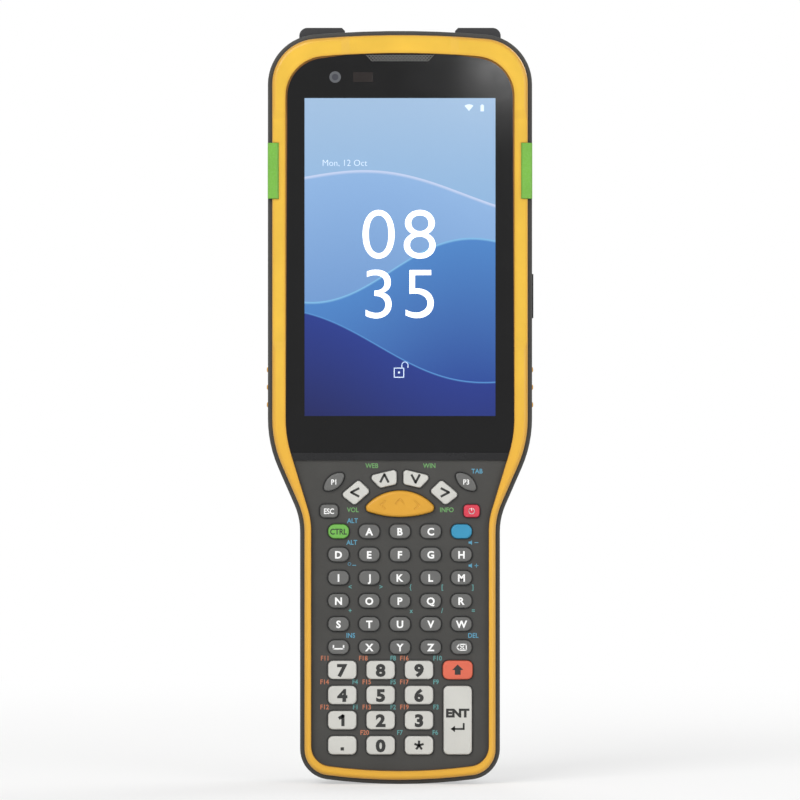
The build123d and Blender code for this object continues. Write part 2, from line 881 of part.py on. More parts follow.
def rear_housing():
    shell = rear_shell()
    ears = both_sides(ear())
    inner = offset(case, amount=-grip_wall)
    shell -= slab(inner & below(battery_top + 1), seam, front_cavity_back)
    deep = slab(offset(case, amount=-side_wall - flank_lean) & above(battery_top + 6), seam,
                body_back - back_wall)
    shell -= deep
    shell -= battery_bay()
    shell -= both_sides(finger_notch())
    shell -= both_sides(side_groove())
    shell -= both_sides(release_pocket())
    shell -= both_sides(trigger_pocket())
    shell -= port_pocket()
    shell -= side_slab(port_opening(seat), port_root - port_wire_room, port_root)
    shell -= strap_bed()
    shell -= bar_bed()
    shell -= crease()
    for x in (-insert_x, insert_x):
        shell -= bore(x, insert_z, body_back - insert_length - insert_recess, insert_radius + seat)
        shell -= bore(x, insert_z, body_back - insert_recess, insert_recess_radius)
    for x, z in housing_holes:
        shell -= bore(x, z, body_back - hole_depth, hole_radius)
    for x, z in strap_screws:
        shell -= bore(x, z, body_back - 3.0, screw_radius * 0.5 + seat)
    shell -= contact_bed()
    shell -= anchor_bed()
    shell -= dock_bed()
    return shell + ears


def housing_screws():
    """Sunk screws that hold the two housings together."""
    bottom = body_back - hole_depth
    screws = [screw(x, z, bottom + 2.0, 1.4, 0.6 - seat, housing_screw_radius) for x, z in housing_holes]
    return Compound(screws)


def grip_inserts():
    """Threaded brass inserts for a pistol grip."""
    back = body_back - insert_recess
    pieces = []
    for x in (-insert_x, insert_x):
        insert = slab(Pos(x, insert_z) * Circle(insert_radius), back - insert_length, back)
        pieces.append(insert - bore(x, insert_z, back - insert_length + 0.6, insert_bore))
    return Compound(pieces)


# ---- Hand strap bar ----

def bar_bed():
    half = bar_half_length + bar_play
    low = bar_z - bar_height / 2 - bar_play
    high = bar_z + bar_height / 2 + bar_play
    bed = slab(round_rect(-half, half, low, high, bar_corner + bar_play), body_back - bar_seat - seat,
               overall_depth)
    span = rect(-bar_span_half, bar_span_half, low, high)
    return bed + slab(span, body_back - bar_recess, overall_depth)


def strap_bar():
    half = bar_half_length
    front = body_back - bar_seat
    back = body_back + bar_pad
    crest = body_back + bar_rise
    under = crest - bar_thick
    ramp = 7.0
    side = [(-half, front), (-half, back), (-bar_span_half - ramp * 0.7, back), (-bar_span_half + 2, crest),
            (bar_span_half - 2, crest), (bar_span_half + ramp * 0.7, back), (half, back), (half, front),
            (bar_span_half, front), (bar_span_half - 3.5, under), (-bar_span_half + 3.5, under),
            (-bar_span_half, front)]
    profile = make_face(Polyline(*[(x, place(depth)) for x, depth in side], close=True))
    bar = extrude(Plane.XY.offset(bar_z - bar_height / 2) * profile, amount=bar_height)
    waist_half = bar_waist / 2
    pad_half = bar_height / 2
    reach = bar_span_half + 5.5
    plan = [(-half, -pad_half), (-reach, -pad_half), (-bar_span_half + 3.5, -waist_half),
            (bar_span_half - 3.5, -waist_half), (reach, -pad_half), (half, -pad_half),
            (half, pad_half), (reach, pad_half), (bar_span_half - 3.5, waist_half),
            (-bar_span_half + 3.5, waist_half), (-reach, pad_half), (-half, pad_half)]
    plan = make_face(Polyline(*plan, close=True))
    plan = fillet([v for v in plan.vertices() if abs(v.X) > half - 0.1], bar_corner)
    bar &= slab(Pos(0, bar_z) * plan, 0, overall_depth)
    for x in (-bar_screw_x, bar_screw_x):
        bar -= bore(x, bar_z, body_back + bar_pad - 0.9, screw_radius + 0.25)
        bar -= bore(x, bar_z, 0, screw_radius * 0.5 + seat)
    return bar


def back_screws():
    """The screws of the strap bar, the port strap and the scanner cover."""
    screws = [screw(x, bar_z, body_back + bar_pad - 0.1, 0.75, 2.8, screw_radius)
              for x in (-bar_screw_x, bar_screw_x)]
    screws.append(screw(strap_screw_x, port_z, body_back + 1.1, 0.75, 2.8, screw_radius))
    for x in (-cover_screw_x, cover_screw_x):
        screws += [screw(x, z, cover_pocket_depth + 0.8, 0.75, 1.0, screw_radius) for z in cover_screw_z]
    return Compound(screws)


# ---- Battery ----

def battery_pack():
    core_profile = battery_profile(0, battery_back, battery_shoulder, battery_flat_half)
    low = battery_bottom
    base = Plane.XY.offset(low) * Pos(0, place(0)) * core_profile
    core = extrude(base, amount=battery_top - low)
    slope = [(battery_front - 1, low - 1), (battery_back + 1, low - 1),
             (battery_back + 1, battery_top - battery_top_slope), (body_back + 1.5, battery_top),
             (battery_front - 1, battery_top)]
    envelope = side_slab(make_face(Polyline(*slope, close=True)), -battery_half_width - 1,
                         battery_half_width + 1)
    plan = slab(round_rect(-battery_half_width, battery_half_width, low, battery_top, battery_corner),
                battery_front, battery_back)
    core = core & envelope & plan
    crest = core.edges().filter_by(Axis.Z).group_by(Axis.Y)[-1]
    core = fillet(crest, 3.0)
    core += battery_boot()
    slot_width, slot_height, slot_deep = pull_slot
    core -= slab(round_rect(-slot_width / 2, slot_width / 2, pull_slot_z - slot_height / 2,
                            pull_slot_z + slot_height / 2, slot_height / 2 - 0.02),
                 battery_back - slot_deep, overall_depth)
    return core


def battery_boot():
    """Thicker foot of the battery, outside the case."""
    swell = boot_swell
    half = battery_half_width + swell
    profile = [(battery_half_width, body_back + 0.3), (half, body_back + 1), (half, battery_shoulder),
               (battery_flat_half + swell, battery_back + swell)]
    profile += [(-x, depth) for x, depth in reversed(profile)]
    base = Plane.XY.offset(battery_bottom) * Pos(0, place(0)) * make_face(Polyline(*profile, close=True))
    boot = extrude(base, amount=boot_top - battery_bottom)
    plan = round_rect(-half, half, battery_bottom, boot_top + battery_corner, battery_corner)
    boot = boot & slab(plan, battery_front, overall_depth)
    rim = [e for e in boot.faces().sort_by(Axis.Z)[-1].edges() if e.center().Y > place(body_back) + 1.2]
    return chamfer(rim, swell - 0.05)


def battery_contacts():
    width, height, thick = contact_size
    z = battery_top - contact_drop
    back = battery_front - battery_gap
    pads = [slab(Pos(i * contact_pitch, z) * Rectangle(width, height), back - thick, back - seat)
            for i in (-1.5, -0.5, 0.5, 1.5)]
    return Compound(pads)


def contact_bed():
    width, height, thick = contact_size
    z = battery_top - contact_drop
    back = battery_front - battery_gap
    half = 1.5 * contact_pitch + width / 2 + seat
    bed = rect(-half, half, z - height / 2 - seat, z + height / 2 + seat)
    return slab(bed, back - thick - seat, back + 0.1)


# ---- Scanner module ----

def module_foot():
    half = module_foot_half
    plan = round_rect(-half, half, module_bottom, module_top, module_foot_round)
    foot = slab(plan, foot_front, shoulder_depth)
    foot = chamfer(back_edges(foot), length=shoulder_depth - foot_edge_depth, length2=half - module_half)
    return foot - rear_shell()


def turret():
    plan = round_rect(-module_half, module_half, turret_bottom, turret_top, turret_round)
    top = Plane.XZ.offset(-place(plate_depth)) * offset(plan, amount=-turret_taper)
    base = Plane.XZ.offset(-place(body_back)) * plan
    return loft([base, top])


def scanner_cover():
    cover = module_foot() + turret()
    hollow_half = module_half - lid_margin
    hollow = round_rect(-hollow_half, hollow_half, turret_bottom + lid_end_margin,
                        turret_top - lid_end_margin, 4)
    cover -= slab(hollow, body_back, plate_depth - lid_wall)
    cover -= slab(round_rect(*camera_bay_x, *camera_bay_z, camera_bay_round),
                  plate_depth - camera_bay_depth, overall_depth)
    cover -= slab(round_rect(*label_bay_x, *label_bay_z, label_bay_round),
                  plate_depth - label_bay_depth, overall_depth)
    for x, z in mic_holes:
        cover -= bore(x, z, plate_depth - lid_wall - 1, mic_radius)
    cover -= both_sides(speaker_bay())
    cover -= bumper_zone(seat)
    for x in (-cover_screw_x, cover_screw_x):
        for z in cover_screw_z:
            cover -= bore(x, z, cover_pocket_depth, screw_radius + driver_gap)
            cover -= bore(x, z, 0, screw_radius * 0.5 + seat)
    bay_floor = plate_depth - camera_bay_depth
    cover -= bore(lens_x, lens_z, bay_floor - lens_deep, lens_radius + seat)
    cover -= bore(flash_x, lens_z, bay_floor - lens_deep, flash_radius + seat)
    cover -= window_bay()
    return cover


def window_plan(z, width, depth):
    return Plane.XY.offset(z) * Pos(0, place(window_depth)) * Rectangle(width, depth)


def window_bay():
    width = window_size[0] + 2 * seat
    depth = window_size[1] + 2 * seat
    bay = extrude(window_plan(turret_top - window_thick - window_recess, width, depth), amount=20)
    sight = extrude(window_plan(turret_top - 8, width - 3, depth - 3), amount=20)
    return bay + sight


def scan_window():
    return extrude(window_plan(turret_top - window_thick - window_recess + seat, *window_size),
                   amount=window_thick)


def scan_engine():
    width, depth, height = engine_size
    top = turret_top - lid_end_margin - engine_gap
    return Pos(0, place(window_depth), top - height / 2) * Box(width, depth, height)


def bumper_plan(grow):
    """Outline of the bumper; grow is what is added all round."""
    half = bumper_half + grow
    return round_rect(-half, half, turret_bottom - bumper_proud - grow, turret_top + bumper_proud + grow,
                      bumper_round)


def bumper_hole(gap):
    half = bumper_half - bumper_band - gap
    reach = bumper_band - bumper_proud - 0.3 + gap
    return round_rect(-half, half, turret_bottom + reach, turret_top - reach, bumper_round - bumper_band + 2)


def block_plan(gap):
    """The four parts of the bumper that reach forward, clear of the cover's screws."""
    outer = cover_screw_x - screw_radius - driver_gap - 0.15
    right = rect(block_inner_x - gap, outer + gap, 0, 2 * case_top)
    ends = above(turret_top + bumper_proud - block_height - gap)
    ends += below(turret_bottom - bumper_proud + block_height + gap)
    return both_sides(right) & ends & between(module_bottom, module_top)


def bumper_zone(gap):
    ring = slab(bumper_plan(3) - bumper_hole(gap), bumper_front - gap, overall_depth + 1)
    return ring + slab(block_plan(gap), block_front - gap, overall_depth)


def bumper_slants():
    """What is cut off the sides of the bumper halfway up."""
    across, deep = bumper_slant
    slope = [(bumper_half - across, overall_depth), (bumper_half, overall_depth - deep),
             (2 * bumper_half, overall_depth - deep), (2 * bumper_half, overall_depth + 1),
             (bumper_half - across, overall_depth + 1)]
    low, high = bumper_slant_z
    section = make_face(Polyline(*[(x, place(depth)) for x, depth in slope], close=True))
    return both_sides(extrude(Plane.XY.offset(low) * section, amount=high - low))


def scanner_bumper():
    band = slab(bumper_plan(0), bumper_front, overall_depth)
    band = fillet(back_edges(band), bumper_outer_edge)
    band -= slab(bumper_hole(0), 0, overall_depth + 1)
    crest = band.faces().sort_by(Axis.Y)[-1].inner_wires()[0].edges()
    band = fillet(crest, bumper_inner_edge)
    band += slab(block_plan(0) & bumper_plan(0), block_front, bumper_front)
    band -= bumper_slants()
    band -= slab(rect(*bumper_top_gap_x, turret_top + bumper_proud - bumper_top_gap_depth, case_top), 0,
                 overall_depth + 1)
    notch = rect(*bumper_notch_x, 0, turret_bottom + bumper_band)
    return band - slab(notch, overall_depth - bumper_notch_deep, overall_depth + 1)


def speaker_bay():
    shape = round_rect(*speaker_depths, *speaker_z, 2.6)
    return side_slab(shape, module_half - turret_taper - speaker_recess, 2 * head_half_width)


def speaker_grilles():
    front, back = speaker_depths
    z_low, z_high = speaker_z
    inner = module_half - turret_taper - speaker_recess + seat
    opening_shape = round_rect(front + seat, back - seat, z_low + seat, z_high - seat, 2.5)
    plate = side_slab(opening_shape, inner, inner + 0.7)
    pitch = (back - front) / (rib_count + 1)
    for i in range(rib_count):
        middle = front + (i + 1) * pitch
        plate += side_slab(rect(middle - rib_width / 2, middle + rib_width / 2, z_low + 1.6, z_high - 1.6),
                           inner, inner + 1.5)
    return both_sides(plate)


def camera_divider_bar():
    z_low, z_high = camera_bay_z
    half = camera_divider / 2
    return rect(camera_divider_x - half, camera_divider_x + half, z_low - 1, z_high + 1)


def camera_window():
    x_low, x_high = camera_bay_x
    z_low, z_high = camera_bay_z
    front = plate_depth - camera_bay_depth + seat
    pane = round_rect(x_low + seat, x_high - seat, z_low + seat, z_high - seat, camera_bay_round - seat)
    window = slab(pane, front, front + 0.8)
    return window + slab(pane & camera_divider_bar(), front + 0.8, plate_depth - 0.4)


def rear_camera():
    front = plate_depth - camera_bay_depth - 2.9
    return slab(Pos(lens_x, lens_z) * Circle(lens_radius), front, front + 2.8)


def flash_led():
    front = plate_depth - camera_bay_depth - 2.9
    return slab(Pos(flash_x, lens_z) * Circle(flash_radius), front, front + 2.8)


# ---- Bottom end ----

def anchor_bed():
    half = anchor_half_width + seat
    bed = rect(-half, half, anchor_z[0] - seat, anchor_z[1] + seat)
    return slab(bed, anchor_front - seat, overall_depth)


def strap_anchor():
    """Frame with the slot that the foot of a hand strap hooks into."""
    z_low, z_high = anchor_z
    block = slab(rect(-anchor_half_width, anchor_half_width, z_low, z_high), anchor_front, anchor_back)
    block = chamfer(back_edges(block), 0.5)
    slot_width, slot_height = anchor_slot
    middle = (z_low + z_high) / 2
    slot = rect(-slot_width / 2, slot_width / 2, middle - slot_height / 2, middle + slot_height / 2)
    block -= slab(slot, anchor_back - anchor_slot_depth, overall_depth)
    post = rect(anchor_post_x - anchor_post / 2, anchor_post_x + anchor_post / 2, z_low + 0.5, z_high - 0.5)
    return block + slab(post, anchor_front, anchor_back - 1.2)


def dock_bed():
    front, back = dock_depths
    box = extrude(Plane.XY * Pos(0, place((front + back) / 2)) * Rectangle(
        2 * dock_half_width + 2 * seat, back - front + 2 * seat), amount=dock_height + seat)
    return box


def dock_contacts():
    front, back = dock_depths
    middle = place((front + back) / 2)
    body = extrude(Plane.XY.offset(0.4) * Pos(0, middle) * Rectangle(2 * dock_half_width, back - front),
                   amount=dock_height - 0.4)
    width, depth, rise = dock_pad
    for i in range(dock_pads):
        x = (i - (dock_pads - 1) / 2) * dock_pitch
        body += extrude(Plane.XY.offset(0.4 - rise) * Pos(x, middle) * Rectangle(width, depth), amount=rise)
    return body


nodes = {
    "front_housing": front_housing,
    "bezel_frame": bezel_frame,
    "touch_glass": touch_glass,
    "trim_strip": trim_strip,
    "earpiece_mesh": earpiece_mesh,
    "front_camera": front_camera,
    "light_sensor": light_sensor,
    "lcd_panel": lcd_panel,
    "light_bars": lambda: both_sides(light_bar()),
    "corner_inserts": lambda: both_sides(corner_insert_block(0)),
    "keypad_membrane": keypad_membrane,
    "keypad_board": keypad_board,
    "main_board": main_board,
    "rear_housing": rear_housing,
    "housing_screws": housing_screws,
    "grip_inserts": grip_inserts,
    "strap_bar": strap_bar,
    "back_screws": back_screws,
    "strap_anchor": strap_anchor,
    "dock_contacts": dock_contacts,
    "battery_pack": battery_pack,
    "battery_contacts": battery_contacts,
    "release_right": release_button,
    "release_left": lambda: mirror(release_button(), about=Plane.YZ),
    "trigger_right": trigger,
    "trigger_left": lambda: mirror(trigger(), about=Plane.YZ),
    "port_cover": port_cover,
    "port_strap": port_strap,
    "port_connector": port_connector,
    "scanner_cover": scanner_cover,
    "scanner_bumper": scanner_bumper,
    "scan_window": scan_window,
    "scan_engine": scan_engine,
    "camera_window": camera_window,
    "rear_camera": rear_camera,
    "flash_led": flash_led,
    "speaker_grilles": speaker_grilles,
}

os.makedirs("parts", exist_ok=True)
for node, make in nodes.items():
    export_step(make(), f"parts/{node}.step")
for node in key_outlines:
    export_step(key(node), f"parts/{node}.step")
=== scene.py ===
import math
from collections import Counter

import bmesh
import bpy
from mathutils import Matrix, Vector


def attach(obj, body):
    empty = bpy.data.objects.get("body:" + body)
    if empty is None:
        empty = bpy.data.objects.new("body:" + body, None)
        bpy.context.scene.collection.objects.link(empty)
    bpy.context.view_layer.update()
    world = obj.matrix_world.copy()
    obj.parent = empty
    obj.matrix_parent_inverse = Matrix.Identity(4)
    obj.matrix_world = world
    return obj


# Portable data terminal, upright: screen and keys face -Y, scan engine at the top end.
# Sizes below are in mm; depth runs backwards from the crest of the scan key.

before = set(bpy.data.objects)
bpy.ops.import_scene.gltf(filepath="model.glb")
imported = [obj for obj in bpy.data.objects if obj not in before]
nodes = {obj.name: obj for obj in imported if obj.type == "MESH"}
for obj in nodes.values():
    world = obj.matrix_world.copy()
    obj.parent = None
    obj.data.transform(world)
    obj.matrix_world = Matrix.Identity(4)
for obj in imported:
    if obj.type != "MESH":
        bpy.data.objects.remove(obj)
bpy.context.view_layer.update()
mm = 0.001
middleDepth = 21.7          # depth at which y is 0

print("frame loaded:", len(nodes), "nodes")


def spot(x, depth, z):
    return Vector((x, depth - middleDepth, z)) * mm


cameraLook = {
    "height": 113.2,
    "distance": 1600.0,
    "shown": 235.4,         # height of the view at the front of the terminal
    "sensor": 36.0,
    "farClip": 20.0,        # in metres
}

white = (1, 1, 1, 1)

studioLook = {              # in metres
    "worldStrength": 0.4,
    "floorSize": 6.0,
    "floorColour": (0.86, 0.86, 0.855, 1),
    "floorRoughness": 0.8,
    "floorGlow": (0.45, 1.0),       # share of plain white in the seen floor, near the terminal and far off
    "floorFade": (0.12, 0.6),
    "lampAim": (0, 0, 0.11),
    "lamps": {
        "keyLamp": {"place": (-0.75, -1.15, 0.95), "size": 0.9, "power": 15.0},
        "fillLamp": {"place": (0.95, -1.15, 0.35), "size": 0.8, "power": 6.5},
        "rearKeyLamp": {"place": (1.05, 0.8, 0.9), "size": 0.9, "power": 9.5},
        "rearFillLamp": {"place": (-0.45, 1.35, 0.9), "size": 0.8, "power": 4.0},
        "glareLamp": {"place": (0.064, -1.62, 0.312), "size": 0.03, "power": 0.065},
    },
}


def makeCamera(look):
    data = bpy.data.cameras.new("camera")
    data.sensor_width = look["sensor"]
    data.lens = look["sensor"] * look["distance"] / look["shown"]
    data.clip_end = look["farClip"]
    camera = bpy.data.objects.new("camera", data)
    bpy.context.scene.collection.objects.link(camera)
    camera.location = (0, -(look["distance"] + middleDepth) * mm, look["height"] * mm)
    camera.rotation_euler = (math.pi / 2, 0, 0)
    bpy.context.scene.camera = camera


def makeLamps(look):
    for name, lamp in look["lamps"].items():
        data = bpy.data.lights.new(name, "AREA")
        data.shape = "SQUARE"
        data.size = lamp["size"]
        data.energy = lamp["power"]
        holder = bpy.data.objects.new(name, data)
        bpy.context.scene.collection.objects.link(holder)
        holder.location = lamp["place"]
        aim = Vector(look["lampAim"]) - Vector(lamp["place"])
        holder.rotation_euler = aim.to_track_quat("-Z", "Y").to_euler()


def addNode(tree, kind, settings=None, inputs=None):
    made = tree.nodes.new(kind)
    for name, value in (settings or {}).items():
        setattr(made, name, value)
    for name, value in (inputs or {}).items():
        if isinstance(value, bpy.types.NodeSocket):
            tree.links.new(value, made.inputs[name])
        else:
            made.inputs[name].default_value = value
    return made


def mathNode(tree, operation, *values, clamp=False):
    inputs = {index: value for index, value in enumerate(values)}
    return addNode(tree, "ShaderNodeMath", {"operation": operation, "use_clamp": clamp}, inputs).outputs[0]


def seenRays(tree):
    # 1 for rays from the camera, from reflections and through glass, which all meet plain white
    path = addNode(tree, "ShaderNodeLightPath")
    seen = mathNode(tree, "MAXIMUM", path.outputs["Is Camera Ray"], path.outputs["Is Glossy Ray"])
    return mathNode(tree, "MAXIMUM", seen, path.outputs["Is Transmission Ray"])


def makeWorld(look):
    world = bpy.data.worlds.new("studio")
    bpy.context.scene.world = world
    world.use_nodes = True
    tree = world.node_tree
    tree.nodes.clear()
    light = addNode(tree, "ShaderNodeBackground", None, {"Color": white, "Strength": look["worldStrength"]})
    plain = addNode(tree, "ShaderNodeBackground", None, {"Color": white, "Strength": 1.0})
    mix = addNode(tree, "ShaderNodeMixShader", None, {0: seenRays(tree), 1: light.outputs[0],
                                                      2: plain.outputs[0]})
    addNode(tree, "ShaderNodeOutputWorld", None, {"Surface": mix.outputs[0]})


def finishMesh(shape, name, material=None, body=None, smoothAngle=None):
    # turns a bmesh into a placed piece that rides on its body
    bmesh.ops.recalc_face_normals(shape, faces=shape.faces)
    mesh = bpy.data.meshes.new(name)
    shape.to_mesh(mesh)
    shape.free()
    if smoothAngle is not None:
        mesh.shade_smooth()
        mesh.set_sharp_from_angle(angle=math.radians(smoothAngle))
    piece = bpy.data.objects.new(name, mesh)
    bpy.context.scene.collection.objects.link(piece)
    if material:
        mesh.materials.append(material)
    if body:
        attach(piece, body)
    return piece


def makeFloor(look):
    shape = bmesh.new()
    bmesh.ops.create_grid(shape, x_segments=1, y_segments=1, size=look["floorSize"] / 2)
    floor = finishMesh(shape, "floor")
    material = bpy.data.materials.new("floor")
    material.use_nodes = True
    tree = material.node_tree
    shader = tree.nodes["Principled BSDF"]
    shader.inputs["Base Color"].default_value = look["floorColour"]
    shader.inputs["Roughness"].default_value = look["floorRoughness"]
    glow = addNode(tree, "ShaderNodeEmission", None, {"Color": white, "Strength": 1.0})
    coords = addNode(tree, "ShaderNodeTexCoord")
    away = addNode(tree, "ShaderNodeVectorMath", {"operation": "LENGTH"}, {0: coords.outputs["Object"]})
    fade = addNode(tree, "ShaderNodeMapRange", {"interpolation_type": "SMOOTHSTEP"},
                   {"Value": away.outputs["Value"], "From Min": look["floorFade"][0],
                    "From Max": look["floorFade"][1], "To Min": look["floorGlow"][0],
                    "To Max": look["floorGlow"][1]})
    share = mathNode(tree, "MULTIPLY", seenRays(tree), fade.outputs[0])
    mix = addNode(tree, "ShaderNodeMixShader", None, {0: share, 1: shader.outputs[0], 2: glow.outputs[0]})
    tree.links.new(mix.outputs[0], tree.nodes["Material Output"].inputs["Surface"])
    floor.data.materials.append(material)


bpy.context.scene.view_settings.view_transform = "Standard"
makeCamera(cameraLook)
makeLamps(studioLook)
makeWorld(studioLook)
makeFloor(studioLook)
print("camera and studio set")


def startMaterial(name):
    material = bpy.data.materials.new(name)
    material.use_nodes = True
    tree = material.node_tree
    coords = addNode(tree, "ShaderNodeTexCoord")
    return material, tree, tree.nodes["Principled BSDF"], coords.outputs["Object"]


def noiseNode(tree, coords, perMm, detail=2.0, stretch=(1, 1, 1)):
    # perMm is the number of grains in a millimetre
    placed = addNode(tree, "ShaderNodeMapping", None, {"Vector": coords, "Scale": stretch})
    noise = addNode(tree, "ShaderNodeTexNoise", None,
                    {"Vector": placed.outputs[0], "Scale": perMm / mm, "Detail": detail})
    return noise.outputs["Fac"]


def rampNode(tree, factor, stops):
    ramp = addNode(tree, "ShaderNodeValToRGB", None, {"Fac": factor})
    stops = sorted(stops)
    elements = ramp.color_ramp.elements
    while len(elements) < len(stops):
        elements.new(0.5)
    for element, (place, colour) in zip(elements, stops):
        element.position = place
        element.color = (*colour, 1)
    return ramp.outputs["Color"]


def rangeNode(tree, value, low, high, first=0.0, last=1.0):
    made = addNode(tree, "ShaderNodeMapRange", None, {"Value": value, "From Min": low, "From Max": high,
                                                      "To Min": first, "To Max": last})
    return made.outputs[0]


def mixNode(tree, factor, first, second, blend="MIX"):
    # the colour sockets of this node come after those for numbers and vectors
    made = addNode(tree, "ShaderNodeMix", {"data_type": "RGBA", "blend_type": blend},
                   {0: factor, 6: first, 7: second})
    return made.outputs[2]


edgeSamples = 4


def roundedNormal(tree, radius):
    return addNode(tree, "ShaderNodeBevel", {"samples": edgeSamples}, {"Radius": radius * mm}).outputs[0]


def edgeMask(tree, rounded, gain):
    # high along edges and creases, where the rounded normal leaves the flat one
    flat = addNode(tree, "ShaderNodeNewGeometry").outputs["Normal"]
    dot = addNode(tree, "ShaderNodeVectorMath", {"operation": "DOT_PRODUCT"}, {0: rounded, 1: flat})
    away = mathNode(tree, "SUBTRACT", 1.0, dot.outputs["Value"])
    return mathNode(tree, "MULTIPLY", away, gain, clamp=True)


def shade(colour, factor):
    return tuple(min(1.0, part * factor) for part in colour)


def turnTo(tree, tone, factor, colour):
    return mixNode(tree, factor, tone, (*colour, 1))


def setGlow(shader, colour, strength):
    shader.inputs["Emission Color"].default_value = (*colour, 1)
    shader.inputs["Emission Strength"].default_value = strength


plasticBase = {             # noises are (grains in a millimetre, detail)
    "roughness": 0.5, "roughSpread": 0.06, "specular": 0.35, "coat": 0.0, "coatRoughness": 0.2,
    "edge": 0.25,           # radius that the shading gives to sharp edges
    "mottle": (0.09, 4.0), "mottleRange": (0.3, 0.7), "spread": 0.08,
    "grainPerMm": 3.2, "grainRange": (0.3, 0.7), "grain": 0.25, "grainDepth": 0.05,
    # lighter colour along edges, partly wear and partly a painted highlight
    "wearAndHighlight": 0.0, "wearHighlightShade": 2.2, "edgeGain": 3.0, "scuff": (0.5, 3.0), "scuffRange": (0.42, 0.7),
    "lowRange": (125, 90),  # heights between which lowColour comes in
    # reach and ranges of the painted shade on faces that lean away from the front
    "slopeReach": 1.5, "slopeShadeRange": (-0.998, -0.86), "sideShadeRange": (-0.5, -0.15),
}


def mouldedPlastic(name, ownLook):
    look = {**plasticBase, **ownLook}
    material, tree, shader, coords = startMaterial(name)
    base = look["colour"]
    mottle = noiseNode(tree, coords, *look["mottle"])
    tones = (shade(base, 1 - look["spread"]), shade(base, 1 + look["spread"]))
    tone = rampNode(tree, mottle, list(zip(look["mottleRange"], tones)))
    rounded = roundedNormal(tree, look["edge"])
    if look["wearAndHighlight"] > 0:
        # edges lighter in colour: scuffed wear together with a painted highlight
        scuff = rangeNode(tree, noiseNode(tree, coords, *look["scuff"]), *look["scuffRange"])
        wearHighlight = mathNode(tree, "MULTIPLY", edgeMask(tree, rounded, look["edgeGain"]), scuff)
        wearHighlight = mathNode(tree, "MULTIPLY", wearHighlight, look["wearAndHighlight"])
        tone = turnTo(tree, tone, wearHighlight, look.get("wearHighlightColour", shade(base, look["wearHighlightShade"])))
    if "lowColour" in look:
        up = addNode(tree, "ShaderNodeSeparateXYZ", None, {0: coords}).outputs["Z"]
        high, low = look["lowRange"]
        tone = turnTo(tree, tone, rangeNode(tree, up, high * mm, low * mm), look["lowColour"])
    if "slopeShadeColour" in look:
        # painted shade: darker where the face leans away from the front, and more so at the sides
        wide = roundedNormal(tree, look["slopeReach"])
        lean = addNode(tree, "ShaderNodeSeparateXYZ", None, {0: wide}).outputs["Y"]
        tone = turnTo(tree, tone, rangeNode(tree, lean, *look["slopeShadeRange"]), look["slopeShadeColour"])
        tone = turnTo(tree, tone, rangeNode(tree, lean, *look["sideShadeRange"]), look["sideShadeColour"])
    tree.links.new(tone, shader.inputs["Base Color"])
    grain = noiseNode(tree, coords, look["grainPerMm"])
    smooth, rough = look["roughness"] - look["roughSpread"], look["roughness"] + look["roughSpread"]
    tree.links.new(rangeNode(tree, grain, *look["grainRange"], smooth, rough), shader.inputs["Roughness"])
    bump = addNode(tree, "ShaderNodeBump", None, {"Height": grain, "Normal": rounded,
                                                  "Strength": look["grain"],
                                                  "Distance": look["grainDepth"] * mm})
    tree.links.new(bump.outputs[0], shader.inputs["Normal"])
    shader.inputs["Specular IOR Level"].default_value = look["specular"]
    shader.inputs["Coat Weight"].default_value = look["coat"]
    shader.inputs["Coat Roughness"].default_value = look["coatRoughness"]
    if "glow" in look:
        setGlow(shader, look["glowColour"], look["glow"])
    return material


glossBase = {
    "roughness": (0.05, 0.14), "ior": 1.5, "coat": 0.3, "edge": 0.12,
    "smudge": (0.12, 5.0), "smudgeRange": (0.35, 0.75), "toneRange": (0.3, 0.75), "tones": (0.85, 1.2),
}


def polishedSurface(name, ownLook):
    # glass, gloss plastic and lenses: a dark body under smooth gloss with faint smudges
    look = {**glossBase, **ownLook}
    material, tree, shader, coords = startMaterial(name)
    smudge = noiseNode(tree, coords, *look["smudge"])
    tones = [shade(look["colour"], factor) for factor in look["tones"]]
    tree.links.new(rampNode(tree, smudge, list(zip(look["toneRange"], tones))), shader.inputs["Base Color"])
    rough = rangeNode(tree, smudge, *look["smudgeRange"], *look["roughness"])
    tree.links.new(rough, shader.inputs["Roughness"])
    tree.links.new(roundedNormal(tree, look["edge"]), shader.inputs["Normal"])
    shader.inputs["IOR"].default_value = look["ior"]
    shader.inputs["Coat Weight"].default_value = look["coat"]
    return material


metalBase = {
    "roughness": 0.3, "roughSpread": (-0.08, 0.1), "edge": 0.08,
    "stain": (0.4, 3.0), "stainRange": (0.3, 0.7), "stainShade": 0.78,
    "brush": (6.0, 2.0), "brushRange": (0.3, 0.7), "stretch": (1, 1, 1), "bump": 0.12, "bumpDepth": 0.02,
}


def turnedMetal(name, ownLook):
    look = {**metalBase, **ownLook}
    material, tree, shader, coords = startMaterial(name)
    base = look["colour"]
    brush = noiseNode(tree, coords, *look["brush"], look["stretch"])
    stain = noiseNode(tree, coords, *look["stain"])
    tone = rampNode(tree, stain, list(zip(look["stainRange"], (shade(base, look["stainShade"]), base))))
    tree.links.new(tone, shader.inputs["Base Color"])
    shader.inputs["Metallic"].default_value = 1.0
    smooth, rough = (look["roughness"] + part for part in look["roughSpread"])
    tree.links.new(rangeNode(tree, brush, *look["brushRange"], smooth, rough), shader.inputs["Roughness"])
    bump = addNode(tree, "ShaderNodeBump", None, {"Height": brush,
                                                  "Normal": roundedNormal(tree, look["edge"]),
                                                  "Strength": look["bump"],
                                                  "Distance": look["bumpDepth"] * mm})
    tree.links.new(bump.outputs[0], shader.inputs["Normal"])
    return material


keyBase = {"roughness": 0.4, "grain": 0.12, "spread": 0.05, "edge": 0.5}

